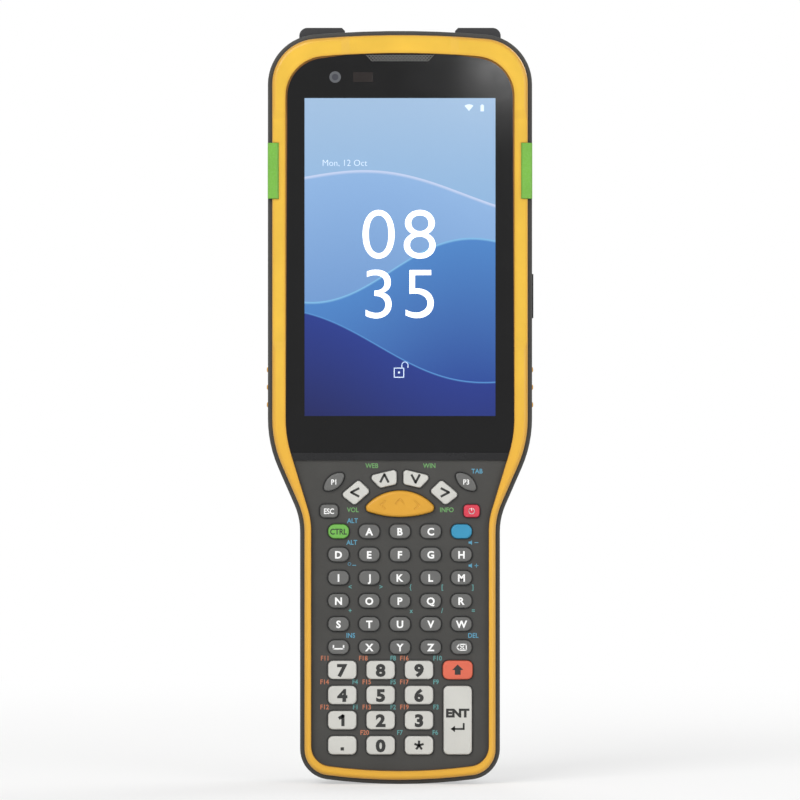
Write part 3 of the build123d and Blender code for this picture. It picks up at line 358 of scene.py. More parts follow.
plasticLooks = {
    "housing": {"colour": (0.030, 0.030, 0.032), "roughness": 0.5, "grain": 0.3, "wearAndHighlight": 0.35},
    "panel": {"colour": (0.046, 0.045, 0.0415), "roughness": 0.62, "grain": 0.3},
    "battery": {"colour": (0.026, 0.026, 0.028), "roughness": 0.46, "grain": 0.3, "wearAndHighlight": 0.35},
    "yellow": {"colour": (0.72, 0.435, 0.04), "roughness": 0.34, "grain": 0.1, "spread": 0.06, "coat": 0.1,
               # the yellow's lighter edges are partly wear and partly a painted highlight
               "wearAndHighlight": 0.4, "wearHighlightColour": (0.78, 0.58, 0.12), "lowColour": (0.72, 0.385, 0.035),
               # painted shade on the yellow's slopes and sides
               "slopeShadeColour": (0.62, 0.325, 0.035), "sideShadeColour": (0.47, 0.245, 0.03)},
    "amber": {"colour": (0.62, 0.31, 0.028), "roughness": 0.4, "grain": 0.12, "spread": 0.05},
    "rubber_black": {"colour": (0.024, 0.024, 0.025), "roughness": 0.62, "grain": 0.4, "grainPerMm": 2.4,
                     "specular": 0.27, "wearAndHighlight": 0.3},
    "mesh": {"colour": (0.012, 0.012, 0.012), "roughness": 0.7, "grain": 0.3, "specular": 0.2},
    "key_white": {**keyBase, "colour": (0.545, 0.54, 0.505), "spread": 0.04},
    "key_grey": {**keyBase, "colour": (0.118, 0.118, 0.114), "grain": 0.15},
    "key_green": {**keyBase, "colour": (0.145, 0.40, 0.07)},
    "key_sky": {**keyBase, "colour": (0.033, 0.255, 0.43)},
    "key_crimson": {**keyBase, "colour": (0.60, 0.045, 0.075)},
    "key_coral": {**keyBase, "colour": (0.64, 0.13, 0.075)},
    "light_green": {"colour": (0.145, 0.36, 0.04), "roughness": 0.26, "grain": 0.05, "coat": 0.3,
                    "glow": 0.1, "glowColour": (0.12, 0.55, 0.05)},
    "board_green": {"colour": (0.02, 0.15, 0.05), "roughness": 0.4, "grain": 0.2},
    "weave": {"colour": (0.23, 0.23, 0.22), "roughness": 0.45, "grain": 0.1, "edge": 0.05},
    # painted shade colour for the frame's inner edge
    "lip": {"colour": (0.26, 0.115, 0.018), "roughness": 0.5, "grain": 0.1},
    "divider": {"colour": (0.075, 0.075, 0.077), "roughness": 0.45},
}

glossLooks = {
    "screen_glass": {"colour": (0.0035, 0.0035, 0.0037), "roughness": (0.07, 0.10), "coat": 0.0, "ior": 1.31},
    "trim_black": {"colour": (0.010, 0.010, 0.011), "roughness": (0.24, 0.34), "coat": 0.0, "ior": 1.36},
    "dark_glass": {"colour": (0.035, 0.012, 0.012), "roughness": (0.04, 0.1)},
    "lens_black": {"colour": (0.012, 0.012, 0.03), "roughness": (0.03, 0.08)},
    "flash_yellow": {"colour": (0.80, 0.68, 0.22), "roughness": (0.1, 0.2)},
    "display": {"colour": (0.03, 0.06, 0.14), "roughness": (0.1, 0.2)},
    "eyeRing": {"colour": (0.085, 0.09, 0.10)},
    "eyeLens": {"colour": (0.03, 0.032, 0.045)},
    "sensor": {"colour": (0.013, 0.009, 0.008), "coat": 0.0, "ior": 1.36},
    "bayFloor": {"colour": (0.004, 0.004, 0.005), "roughness": (0.3, 0.45), "coat": 0.0, "ior": 1.25},
    "lensRing": {"colour": (0.02, 0.02, 0.028)},
    "lensDome": {"colour": (0.085, 0.085, 0.24), "roughness": (0.02, 0.06), "coat": 1.0},
    "pupil": {"colour": (0.012, 0.012, 0.06), "roughness": (0.02, 0.06)},
    "flashRim": {"colour": (0.022, 0.012, 0.010)},
}

metalLooks = {
    "engine_metal": {"colour": (0.5, 0.5, 0.5), "roughness": 0.35, "stretch": (1, 1, 8)},
    "screw_steel": {"colour": (0.78, 0.78, 0.77), "roughness": 0.42},
    # painted shade: a black finish for steel screws that sit deep in their holes
    "shaded_screw": {"colour": (0.03, 0.03, 0.03), "roughness": 0.5},
    "insert_brass": {"colour": (0.78, 0.56, 0.2), "roughness": 0.28},
    "contact_gold": {"colour": (0.8, 0.6, 0.24), "roughness": 0.25},
}

finishes = {name: mouldedPlastic(name + "Finish", look) for name, look in plasticLooks.items()}
finishes.update({name: polishedSurface(name + "Finish", look) for name, look in glossLooks.items()})
finishes.update({name: turnedMetal(name + "Finish", look) for name, look in metalLooks.items()})

for node in nodes.values():
    for holder in node.material_slots:
        holder.material = finishes[holder.material.name.split(".")[0]]
nodes["housing_screws"].material_slots[0].material = finishes["shaded_screw"]     # painted shade: steel screws made black as if shaded deep in their holes
print("finishes made:", len(finishes))


def plateBetween(shape, corners, front, back):
    # a flat outline (x, z) filled between two depths
    ring = [shape.verts.new(spot(x, front, z)) for x, z in corners]
    face = shape.faces.new(ring)
    grown = bmesh.ops.extrude_face_region(shape, geom=[face])
    moved = [part for part in grown["geom"] if isinstance(part, bmesh.types.BMVert)]
    bmesh.ops.translate(shape, verts=moved, vec=(0, (back - front) * mm, 0))


def platePiece(name, corners, front, back, finish):
    shape = bmesh.new()
    plateBetween(shape, corners, front, back)
    finishMesh(shape, name, finish, "terminal")


def ringBetween(shape, inner, outer, front, back):
    # a closed band between two loops of as many points, filled between two depths
    rows = [[shape.verts.new(spot(x, depth, z)) for x, z in loop]
            for loop, depth in ((inner, front), (outer, front), (outer, back), (inner, back))]
    count = len(inner)
    for row, nextRow in zip(rows, rows[1:] + rows[:1]):
        for i in range(count):
            j = (i + 1) % count
            shape.faces.new((row[i], row[j], nextRow[j], nextRow[i]))


def arcPoints(x, z, radius, first, last, steps):
    angles = [math.radians(first + (last - first) * i / steps) for i in range(steps + 1)]
    return [(x + radius * math.cos(a), z + radius * math.sin(a)) for a in angles]


def circlePoints(x, z, radius, count=40):
    return arcPoints(x, z, radius, 0, 360, count)[:-1]


def rectangleCorners(left, right, low, high):
    return [(left, low), (right, low), (right, high), (left, high)]


def roundedCorners(left, right, low, high, radius, steps=6):
    corners = []
    for x, z, first in ((right - radius, high - radius, 0), (left + radius, high - radius, 90),
                        (left + radius, low + radius, 180), (right - radius, low + radius, 270)):
        corners += arcPoints(x, z, radius, first, first + 90, steps)
    return corners


strokeOverrun = 0.35        # how far a stroke runs past its ends, as a share of its width


def strokeBetween(shape, points, width, front, back):
    # a drawn line of straight strokes through points (x, z)
    for (x1, z1), (x2, z2) in zip(points, points[1:]):
        along = Vector((x2 - x1, z2 - z1)).normalized()
        side = Vector((-along.y, along.x)) * width / 2
        reach = along * width * strokeOverrun
        start, stop = Vector((x1, z1)) - reach, Vector((x2, z2)) + reach
        corners = [tuple(start - side), tuple(stop - side), tuple(stop + side), tuple(start + side)]
        plateBetween(shape, corners, front, back)


# Signs are drawn about their own middle: strokes are (width, points) and plates are outlines.
soundHorn = [(-0.5, -0.3), (0, -0.3), (0.5, -0.7), (0.5, 0.7), (0, 0.3), (-0.5, 0.3)]
minusStroke = (0.2, [(1.3, 0), (2.3, 0)])
plusStroke = (0.2, [(1.8, -0.5), (1.8, 0.5)])
starRays = [(0.66, [(0, 0), arcPoints(0, 0, 1.2, angle, angle, 1)[0]]) for angle in (90, 18, -54, -126, 162)]

signs = {
    "signal": {"plates": [[(0, 0)] + arcPoints(0, 0, 2.0, 50, 130, 8)]},
    "battery": {"plates": [rectangleCorners(-0.5, 0.5, -1.1, 0.7), rectangleCorners(-0.22, 0.22, 0.7, 0.95)]},
    "openLock": {
        "strokes": [(0.26, rectangleCorners(-1.4, 1.4, -1.5, 1.2) + [(-1.4, -1.5)]),
                    (0.26, [(0.85, 1.3)] + arcPoints(1.75, 2.1, 0.9, 180, 0, 10) + [(2.65, 1.4)])],
        "plates": [circlePoints(0, -0.1, 0.32, 10)]},
    "space": {"strokes": [(0.42, [(-1.5, 0.5), (-1.5, -0.45), (1.5, -0.45), (1.5, 0.5)])]},
    "backspace": {
        "strokes": [(0.34, [(-1.45, 0), (-0.6, 0.85), (1.4, 0.85), (1.4, -0.85), (-0.6, -0.85), (-1.45, 0)]),
                    (0.3, [(-0.3, -0.42), (0.7, 0.42)]),
                    (0.3, [(-0.3, 0.42), (0.7, -0.42)])]},
    "one": {"strokes": [(0.95, [(-0.75, 0.7), (0.2, 1.3), (0.2, -1.4)])]},
    "dot": {"plates": [rectangleCorners(-0.5, 0.5, -1.5, -0.55)]},
    "star": {"strokes": starRays},
    "chevron": {"strokes": [(0.66, [(-1.0, 1.15), (1.2, 0), (-1.0, -1.15)])]},
    "power": {"strokes": [(0.22, arcPoints(0, 0, 0.82, 122, 418, 16)), (0.22, [(0, 0.2), (0, 0.85)])]},
    "shift": {"plates": [[(0, 1.65), (-1.65, 0), (-0.85, 0), (-0.85, -1.4), (0.85, -1.4), (0.85, 0),
                          (1.65, 0)]]},
    "enter": {"strokes": [(0.56, [(1.75, 1.55), (1.75, 0), (-1.5, 0)])],
              "plates": [[(-2.1, 0), (-0.8, 0.95), (-0.8, -0.95)]]},
    "quieter": {"strokes": [minusStroke], "plates": [soundHorn]},
    "louder": {"strokes": [minusStroke, plusStroke], "plates": [soundHorn]},
    "dimmer": {"strokes": [(0.14, arcPoints(0, 0, 0.45, 0, 360, 8)), (0.2, [(0.9, -0.4), (1.9, -0.4)])]},
}


def drawSign(shape, name, x, z, front, back, turn=0):
    way = Matrix.Rotation(math.radians(turn), 2)

    def placed(points):
        turned = [way @ Vector(point) for point in points]
        return [(x + point.x, z + point.y) for point in turned]

    for width, points in signs[name].get("strokes", []):
        strokeBetween(shape, placed(points), width, front, back)
    for points in signs[name].get("plates", []):
        plateBetween(shape, placed(points), front, back)


glyphHeight = 0.729         # height of a capital of the built-in font at size 1


def addWords(shape, words, x, z, height, depth, weight=0.0, thick=0.03, narrow=1.0, wide=None, behind=False,
             centred=False, steps=3):
    # one printed word, its capitals centred on x and z; wide sets its width in place of narrow
    curve = bpy.data.curves.new("words", "FONT")
    curve.body = words
    curve.resolution_u = steps
    size = height / glyphHeight * mm
    curve.offset = weight
    curve.extrude = thick * mm / size
    holder = bpy.data.objects.new("words", curve)
    mesh = bpy.data.meshes.new_from_object(holder)
    bpy.data.objects.remove(holder)
    across = [v.co.x for v in mesh.vertices]
    up = [v.co.y for v in mesh.vertices]
    middle = (min(up) + max(up)) / 2 if centred else glyphHeight / 2
    if wide:
        narrow = wide * mm / (size * (max(across) - min(across)))
    mesh.transform(Matrix.Translation((-(min(across) + max(across)) / 2, -middle, 0)))
    mesh.transform(Matrix.Diagonal((size * narrow, size, size, 1)))
    mesh.transform(Matrix.Rotation(math.pi / 2, 4, "X"))
    if behind:
        mesh.transform(Matrix.Rotation(math.pi, 4, "Z"))
    mesh.transform(Matrix.Translation(spot(x, depth, z)))
    shape.from_mesh(mesh)
    bpy.data.meshes.remove(mesh)


inkLook = {"perMm": 2.5, "flecks": (0.3, 0.7), "shades": (0.93, 1.05), "roughSpread": 0.05}


def printInk(name, colour, roughness=0.45, glow=0.0):
    material, tree, shader, coords = startMaterial(name)
    fleck = noiseNode(tree, coords, inkLook["perMm"])
    tones = [shade(colour, factor) for factor in inkLook["shades"]]
    tree.links.new(rampNode(tree, fleck, list(zip(inkLook["flecks"], tones))), shader.inputs["Base Color"])
    smooth, rough = roughness - inkLook["roughSpread"], roughness + inkLook["roughSpread"]
    tree.links.new(rangeNode(tree, fleck, *inkLook["flecks"], smooth, rough), shader.inputs["Roughness"])
    if glow > 0:
        setGlow(shader, colour, glow)
    return material


inks = {
    "white": printInk("whiteInk", (0.86, 0.86, 0.85)),
    "dark": printInk("darkInk", (0.014, 0.014, 0.013), 0.6),
    "glowWhite": printInk("litWhite", (0.9, 0.92, 0.95), 0.2, 0.75),
    "glowPale": printInk("litPale", (0.55, 0.65, 0.78), 0.2, 0.4),
    "skyBlue": printInk("skyInk", (0.085, 0.30, 0.44)),
    "leafGreen": printInk("leafInk", (0.125, 0.32, 0.10)),
    "orange": printInk("orangeInk", (0.48, 0.155, 0.075)),
    "teal": printInk("tealInk", (0.095, 0.285, 0.28)),
    "deepRed": printInk("redInk", (0.42, 0.015, 0.03)),
    "black": printInk("blackInk", (0.012, 0.012, 0.013)),
    "paper": printInk("labelPaper", (0.80, 0.80, 0.79), 0.4),
    # painted shade round the key holes
    "ring": printInk("keyRingShade", (0.016, 0.016, 0.015), 0.55),
}


screenLook = {
    "halfWidth": 28.1,
    "bottom": 108.5,
    "top": 202.1,
    "depth": 1.18,
    "thick": 0.012,
    "brightness": 0.62,
    "unlit": 0.34,          # share of the picture's colours that lamplight shows
    "roughness": 0.12,
    "ior": 1.3,
    "crest": (0.007, 0.018),        # end of the pale line and start of the wave, as shares of its fade
    "crestBlur": 0.15,
    "sky": [(0.0, (0.10, 0.22, 0.50)), (0.45, (0.22, 0.42, 0.70)), (1.0, (0.36, 0.52, 0.73))],
    "waves": [
        {"height": 176.0, "swing": 4.2, "length": 95.0, "shift": 1.9, "slope": -0.10, "fade": 60.0,
         "line": (0.55, 0.64, 0.86), "near": (0.27, 0.45, 0.74), "far": (0.10, 0.24, 0.55)},
        {"height": 152.0, "swing": 6.0, "length": 78.0, "shift": 0.2, "slope": 0.16, "fade": 46.0,
         "line": (0.22, 0.50, 0.78), "near": (0.075, 0.23, 0.56), "far": (0.022, 0.06, 0.30)},
        {"height": 128.0, "swing": 5.0, "length": 88.0, "shift": 3.6, "slope": -0.22, "fade": 34.0,
         "line": (0.10, 0.30, 0.66), "near": (0.022, 0.045, 0.26), "far": (0.014, 0.018, 0.10)},
    ],
}


def picturePaint(look):
    # soft overlapping waves under a pale sky
    material, tree, shader, coords = startMaterial("screenPicture")
    parts = addNode(tree, "ShaderNodeSeparateXYZ", None, {"Vector": coords})
    across, up = parts.outputs["X"], parts.outputs["Z"]
    rise = rangeNode(tree, up, look["bottom"] * mm, look["top"] * mm)
    colour = rampNode(tree, rise, look["sky"])
    lineEnd, waveStart = look["crest"]
    for wave in look["waves"]:
        turn = mathNode(tree, "MULTIPLY_ADD", across, 2 * math.pi / (wave["length"] * mm), wave["shift"])
        swing = mathNode(tree, "SINE", turn)
        slant = mathNode(tree, "MULTIPLY_ADD", across, wave["slope"], wave["height"] * mm)
        crest = mathNode(tree, "MULTIPLY_ADD", swing, wave["swing"] * mm, slant)
        under = mathNode(tree, "SUBTRACT", crest, up)
        body = rampNode(tree, rangeNode(tree, under, 0, wave["fade"] * mm),
                        [(0.0, wave["line"]), (lineEnd, wave["line"]), (waveStart, wave["near"]),
                         (1.0, wave["far"])])
        mask = rangeNode(tree, under, 0, look["crestBlur"] * mm)
        colour = mixNode(tree, mask, colour, body)
    tree.links.new(colour, shader.inputs["Emission Color"])
    shader.inputs["Emission Strength"].default_value = look["brightness"]
    dim = mixNode(tree, 1.0, colour, (look["unlit"], look["unlit"], look["unlit"], 1), "MULTIPLY")
    tree.links.new(dim, shader.inputs["Base Color"])
    shader.inputs["Roughness"].default_value = look["roughness"]
    shader.inputs["IOR"].default_value = look["ior"]
    return material


def makePicture(look):
    corners = rectangleCorners(-look["halfWidth"], look["halfWidth"], look["bottom"], look["top"])
    platePiece("screen_picture", corners, look["depth"], look["depth"] + look["thick"], picturePaint(look))


clockLook = {"rows": [("08", 162.0), ("35", 144.4)], "columns": (-6.3, 5.8), "height": 15.3, "depth": 1.17,
             "weight": -0.008, "thick": 0.006, "narrow": 1.06, "steps": 12}


def makeClock(look):
    shape = bmesh.new()
    for digits, z in look["rows"]:
        for digit, x in zip(digits, look["columns"]):
            addWords(shape, digit, x, z, look["height"], look["depth"], look["weight"], look["thick"],
                     look["narrow"], centred=True, steps=look["steps"])
    finishMesh(shape, "screen_clock", inks["glowWhite"], "terminal")


iconLook = {
    "depth": 1.17, "thick": 0.006,
    "signs": {"signal": (20.3, 198.3), "battery": (24.2, 199.3), "openLock": (-0.3, 121.4)},
    "date": "Mon, 12 Oct", "dateX": -16.2, "dateZ": 183.1, "dateHeight": 1.95, "dateWide": 13.1,
    "dateWeight": -0.014,
}


def makeIcons(look):
    shape = bmesh.new()
    for name, (x, z) in look["signs"].items():
        drawSign(shape, name, x, z, look["depth"] - look["thick"], look["depth"] + look["thick"])
    addWords(shape, look["date"], look["dateX"], look["dateZ"], look["dateHeight"], look["depth"],
             look["dateWeight"], look["thick"], wide=look["dateWide"])
    finishMesh(shape, "screen_icons", inks["glowPale"], "terminal")


makePicture(screenLook)
makeClock(clockLook)
makeIcons(iconLook)
print("screen picture made")


eyeLook = {"x": -19.1, "z": 208.3, "ring": 1.7, "lens": 0.95, "ringFront": 1.14, "lensFront": 1.15,
           "sensorX": -10.9, "sensorHalf": (2.9, 1.45), "sensorFront": 1.16, "back": 1.22}


def discBetween(shape, x, z, radius, front, back):
    plateBetween(shape, circlePoints(x, z, radius), front, back)


def hoopBetween(shape, x, z, outer, inner, front, back):
    ringBetween(shape, circlePoints(x, z, inner), circlePoints(x, z, outer), front, back)


def makeEyes(look):
    x, z, back = look["x"], look["z"], look["back"]
    ring = bmesh.new()
    hoopBetween(ring, x, z, look["ring"], look["lens"], look["ringFront"], back)
    finishMesh(ring, "front_camera_ring", finishes["eyeRing"], "terminal")
    lens = bmesh.new()
    discBetween(lens, x, z, look["lens"], look["lensFront"], back)
    finishMesh(lens, "front_camera_lens", finishes["eyeLens"], "terminal")
    middle = look["sensorX"]
    width, height = look["sensorHalf"]
    platePiece("light_sensor_pane", rectangleCorners(middle - width, middle + width, z - height, z + height),
               look["sensorFront"], back, finishes["sensor"])


weaveLook = {"top": 214.9, "low": 212.9, "halfTop": 10.15, "halfLow": 8.35, "depth": 1.45, "strand": 0.09,
             "pitch": 1.0, "sides": 5, "tilts": (45, -45), "spare": 3, "overlong": 2.2}


def makeWeave(look):
    # crossing strands of the earpiece mesh, cut to its outline
    shape = bmesh.new()
    middle = (look["top"] + look["low"]) / 2
    count = int(look["halfTop"] / look["pitch"]) + look["spare"]
    length = (look["top"] - look["low"]) * look["overlong"]
    for tilt in look["tilts"]:
        lean = Matrix.Rotation(math.radians(tilt), 3, "Y")
        for i in range(-count, count + 1):
            made = bmesh.ops.create_cone(shape, segments=look["sides"], radius1=look["strand"] * mm,
                                         radius2=look["strand"] * mm, depth=length * mm)["verts"]
            bmesh.ops.rotate(shape, verts=made, cent=(0, 0, 0), matrix=lean)
            bmesh.ops.translate(shape, verts=made, vec=spot(i * look["pitch"], look["depth"], middle))
    slope = Vector((look["top"] - look["low"], 0, -(look["halfTop"] - look["halfLow"]))).normalized()
    cuts = [((0, 0, look["top"]), (0, 0, 1)), ((0, 0, look["low"]), (0, 0, -1)),
            ((look["halfTop"], 0, look["top"]), tuple(slope)),
            ((-look["halfTop"], 0, look["top"]), (-slope.x, 0, slope.z))]
    for point, way in cuts:
        bmesh.ops.bisect_plane(shape, geom=shape.verts[:] + shape.edges[:] + shape.faces[:],
                               plane_co=Vector(point) * mm, plane_no=way, clear_outer=True)
    finishMesh(shape, "earpiece_weave", finishes["weave"], "terminal")


makeEyes(eyeLook)
makeWeave(weaveLook)
print("front glass details made")


keyLook = {"face": 0.9, "printHalf": 0.03, "wordWeight": 0.02}      # face is the depth of the key faces

letterLook = {
    "left": -18.1, "top": 74.5, "pitch": 9.05, "rowPitch": 6.82,
    "height": 2.15, "weight": 0.035, "narrow": 1.0, "ink": "white",
    "rows": {"keys_a_to_c": " ABC ", "keys_d_to_h": "DEFGH", "keys_i_to_m": "IJKLM", "keys_n_to_r": "NOPQR",
             "keys_s_to_w": "STUVW", "keys_space_to_backspace": "_XYZ<"},
}

digitLook = {
    "left": -17.0, "top": 33.7, "pitch": 11.3, "rowPitch": 7.4,
    "height": 3.5, "weight": 0.052, "narrow": 1.12, "ink": "dark",
    "rows": {"keys_7_to_9": "789", "keys_4_to_6": "456", "keys_1_to_3": "123", "keys_dot_to_star": ".0*"},
}

drawnLetters = {"_": "space", "<": "backspace", "1": "one", ".": "dot", "*": "star"}

wordKeys = {                # words, x, z, height, ink, narrowing
    "key_escape": ("ESC", -20.9, 80.5, 1.65, "white", 0.82),
    "key_control": ("CTRL", -18.1, 74.5, 1.75, "dark", 0.86),
    "key_p1": ("P1", -19.5, 89.1, 1.55, "white", 0.9),
    "key_p3": ("P3", 19.5, 89.1, 1.55, "white", 0.9),
}

signKeys = {                # sign, x, z, turn, ink
    "key_up": ("chevron", -4.6, 90.1, 90, "dark"),
    "key_down": ("chevron", 4.6, 90.1, 270, "dark"),
    "key_left": ("chevron", -13.2, 86.0, 180, "dark"),
    "key_right": ("chevron", 13.2, 86.0, 0, "dark"),
    "key_power": ("power", 21.1, 80.5, 0, "white"),
    "key_shift": ("shift", 17.0, 33.7, 0, "dark"),
}

enterLook = {"x": 17.0, "signZ": 16.35, "wordZ": 21.1, "height": 2.4, "weight": 0.055, "narrow": 1.1}


def legendPiece(shape, node, ink):
    finishMesh(shape, node + "_legend", inks[ink], node + "_body")


def signOnKey(shape, name, x, z, turn=0):
    face, half = keyLook["face"], keyLook["printHalf"]
    drawSign(shape, name, x, z, face - half, face + half, turn)


def makeRowLegends(look):
    for row, (node, letters) in enumerate(look["rows"].items()):
        shape = bmesh.new()
        z = look["top"] - row * look["rowPitch"]
        for column, letter in enumerate(letters):
            x = look["left"] + column * look["pitch"]
            if letter in drawnLetters:
                signOnKey(shape, drawnLetters[letter], x, z)
            elif letter != " ":
                addWords(shape, letter, x, z, look["height"], keyLook["face"], look["weight"],
                         narrow=look["narrow"])
        legendPiece(shape, node, look["ink"])


def makeOtherLegends():
    for node, (sign, x, z, turn, ink) in signKeys.items():
        shape = bmesh.new()
        signOnKey(shape, sign, x, z, turn)
        legendPiece(shape, node, ink)
    for node, (words, x, z, height, ink, narrow) in wordKeys.items():
        shape = bmesh.new()
        addWords(shape, words, x, z, height, keyLook["face"], keyLook["wordWeight"], narrow=narrow)
        legendPiece(shape, node, ink)


def makeEnterLegend(look):
    shape = bmesh.new()
    addWords(shape, "ENT", look["x"], look["wordZ"], look["height"], keyLook["face"], look["weight"],
             narrow=look["narrow"])
    signOnKey(shape, "enter", look["x"], look["signZ"])
    legendPiece(shape, "key_enter", "dark")


makeRowLegends(letterLook)
makeRowLegends(digitLook)
makeOtherLegends()
makeEnterLegend(enterLook)
print("key legends made")


panelLook = {"depth": 1.9, "thick": 0.02, "height": 1.42, "weight": 0.016, "narrow": 0.92}

panelWords = {
    "leafGreen": [("WEB", -8.3, 93.9), ("WIN", 8.6, 93.9), ("VOL", -13.9, 80.9), ("INFO", 13.8, 80.9)],
    "skyBlue": [("TAB", 22.7, 92.3), ("ALT", -14.0, 77.7), ("ALT", -14.2, 71.3), ("INS", -14.5, 43.9),
                ("DEL", 21.6, 43.9)],
    "teal": [("<", -14.7, 58.2), (">", -5.6, 58.2), ("{", 3.1, 58.2), ("[", 12.5, 58.2), ("]", 21.4, 58.2),
             ("+", -14.7, 51.2), ("x", 3.3, 51.2), ("/", 12.4, 51.2), ("=", 21.6, 51.2),
             ("F8", -2.0, 37.2), ("F10", 11.1, 37.2), ("F4", -13.2, 30.2), ("F5", -2.0, 30.2),
             ("F9", 10.6, 30.2), ("F1", -13.2, 22.8), ("F2", -2.0, 22.8), ("F3", 10.6, 22.8),
             ("F7", 0.0, 15.3), ("F6", 10.4, 15.3)],
    "orange": [("F11", -22.2, 37.2), ("F18", -10.8, 37.2), ("F16", 1.3, 37.2), ("F14", -22.2, 30.2),
               ("F15", -9.8, 30.2), ("F17", 1.3, 30.2), ("F12", -22.2, 22.8), ("F13", -9.8, 22.8),
               ("F19", 1.3, 22.8), ("F20", -10.4, 15.3)],
}

panelSigns = {"skyBlue": [("quieter", 20.7, 71.2), ("louder", 20.7, 64.4), ("dimmer", -14.9, 64.9)]}


def makePanelPrint(look):
    front, back = look["depth"] - look["thick"], look["depth"] + look["thick"]
    for ink, words in panelWords.items():
        shape = bmesh.new()
        for word, x, z in words:
            addWords(shape, word, x, z, look["height"], look["depth"], look["weight"], look["thick"],
                     look["narrow"])
        for sign, x, z in panelSigns.get(ink, []):
            drawSign(shape, sign, x, z, front, back)
        finishMesh(shape, "panel_print_" + ink, inks[ink], "terminal")


levelReach = 2e-5           # metres within which an edge lies at a depth
flatShare = 0.999           # how squarely a flat face looks along the depth


def capLoops(node, depth):
    # closed outlines (x, z) of a node at one depth
    mesh = nodes[node].data
    level = spot(0, depth, 0).y
    flatFaces = [face for face in mesh.polygons if abs(face.normal.y) > flatShare]
    flatSides = Counter(key for face in flatFaces for key in face.edge_keys)
    links = {}
    for edge in mesh.edges:
        ends = [mesh.vertices[i].co for i in edge.vertices]
        if flatSides[edge.key] < 2 and all(abs(end.y - level) < levelReach for end in ends):
            first, last = ((round(end.x / mm, 3), round(end.z / mm, 3)) for end in ends)
            if first != last:
                links.setdefault(first, set()).add(last)
                links.setdefault(last, set()).add(first)
    loops = []
    while links:
        start = min(links)
        loop = [start]
        while links.get(loop[-1]):
            here = loop[-1]
            onward = min(links[here])
            links[here].discard(onward)
            links[onward].discard(here)
            loop.append(onward)
        for point in loop:
            links.pop(point, None)
        loops.append(loop[:-1] if loop[-1] == start else loop)
    return loops


cornerLimit = 0.5           # keeps the corners of a grown loop from shooting out


def grownLoop(points, distance):
    # the loop moved outwards, by the same distance or by distance(x, z)
    area = sum(x1 * z2 - x2 * z1 for (x1, z1), (x2, z2) in zip(points, points[1:] + points[:1]))
    if area < 0:
        points = points[::-1]
    grown = []
    for before, here, after in zip(points[-1:] + points[:-1], points, points[1:] + points[:1]):
        first = (Vector(here) - Vector(before)).normalized()
        last = (Vector(after) - Vector(here)).normalized()
        way = Vector((first.y + last.y, -first.x - last.x)).normalized()
        size = distance(*here) if callable(distance) else distance
        reach = size / max(cornerLimit, way.dot(Vector((first.y, -first.x))))
        grown.append((here[0] + way.x * reach, here[1] + way.y * reach))
    return grown


ringShadeLook = {"front": 1.888, "back": 1.92, "gap": 0.18, "width": 0.3, "keyLevel": 1.3, "scanKeyLevel": 0.9}


def makeKeyRingShadows(look):
    # painted shade: a dark band round each hole in the panel
    shape = bmesh.new()
    levels = {node: look["keyLevel"] for node in nodes if node.startswith(("key_", "keys_"))}
    levels["scan_key"] = look["scanKeyLevel"]
    made = 0
    for node, level in levels.items():
        for loop in capLoops(node, level):
            inner = grownLoop(loop, look["gap"])
            ringBetween(shape, inner, grownLoop(inner, look["width"]), look["front"], look["back"])
            made += 1
    finishMesh(shape, "key_ring_shadows", inks["ring"], "terminal")
    print("rings round keys:", made)


makePanelPrint(panelLook)
makeKeyRingShadows(ringShadeLook)
print("panel print made")


lipShadeLook = {
    "frameBack": 3.4, "front": 1.1, "back": 1.9,
    "width": 0.1, "cornerWidth": 0.5,
    "cornerX": (17.0, 23.0), "cornerZ": (196.0, 203.0),     # where the corner width comes in
    "halfWidth": 35.0,      # wider loops are the outside of the frame
}


def shareBetween(value, low, high):
    return min(1.0, max(0.0, (value - low) / (high - low)))


def makeLipShade(look):
    # painted shade on the inner edge of the frame, widest at the upper corners of the glass
    def width(x, z):
        corner = shareBetween(abs(x), *look["cornerX"]) * shareBetween(z, *look["cornerZ"])
        return -look["width"] - corner * (look["cornerWidth"] - look["width"])

    shape = bmesh.new()
    for loop in capLoops("bezel_frame", look["frameBack"]):
        if max(abs(x) for x, z in loop) < look["halfWidth"]:
            outer = grownLoop(loop, 0.0)
            ringBetween(shape, grownLoop(outer, width), outer, look["front"], look["back"])
    print("lip faces:", len(shape.faces))
    finishMesh(shape, "frame_lip_shade", finishes["lip"], "terminal")


makeLipShade(lipShadeLook)


labelLook = {
    "left": -9.0, "right": 15.2, "low": 166.2, "high": 184.9, "round": 0.6,
    "front": 41.02, "back": 41.12,
    "printFront": 41.1, "printBack": 41.15, "whiteDepth": 41.16, "whiteThick": 0.02,
    # rows are below its top, columns in from its right side
    "blockRows": (0.8, 4.1), "blackBlock": (0.5, 14.8), "redBlock": (15.8, 22.9),
    "lineRow": 7.3, "lineInset": 0.6, "lineWidth": 0.16,
    "bars": "3131221314112231312211413212231", "barRows": (7.9, 14.0), "barStart": 1.9, "barStep": 0.34,
    # words, column, row, height, weight, width
    "blackWords": [("ID 0123 4567", 10.2, 5.6, 2.0, 0.015, 17.6), ("012345", 11.9, 15.8, 2.7, 0.03, 11.3)],
    "whiteWords": [("PORTABLE", 7.6, 2.45, 1.9, 0.02, 12.2), ("A", 19.3, 2.45, 2.0, 0.03, None)],
}


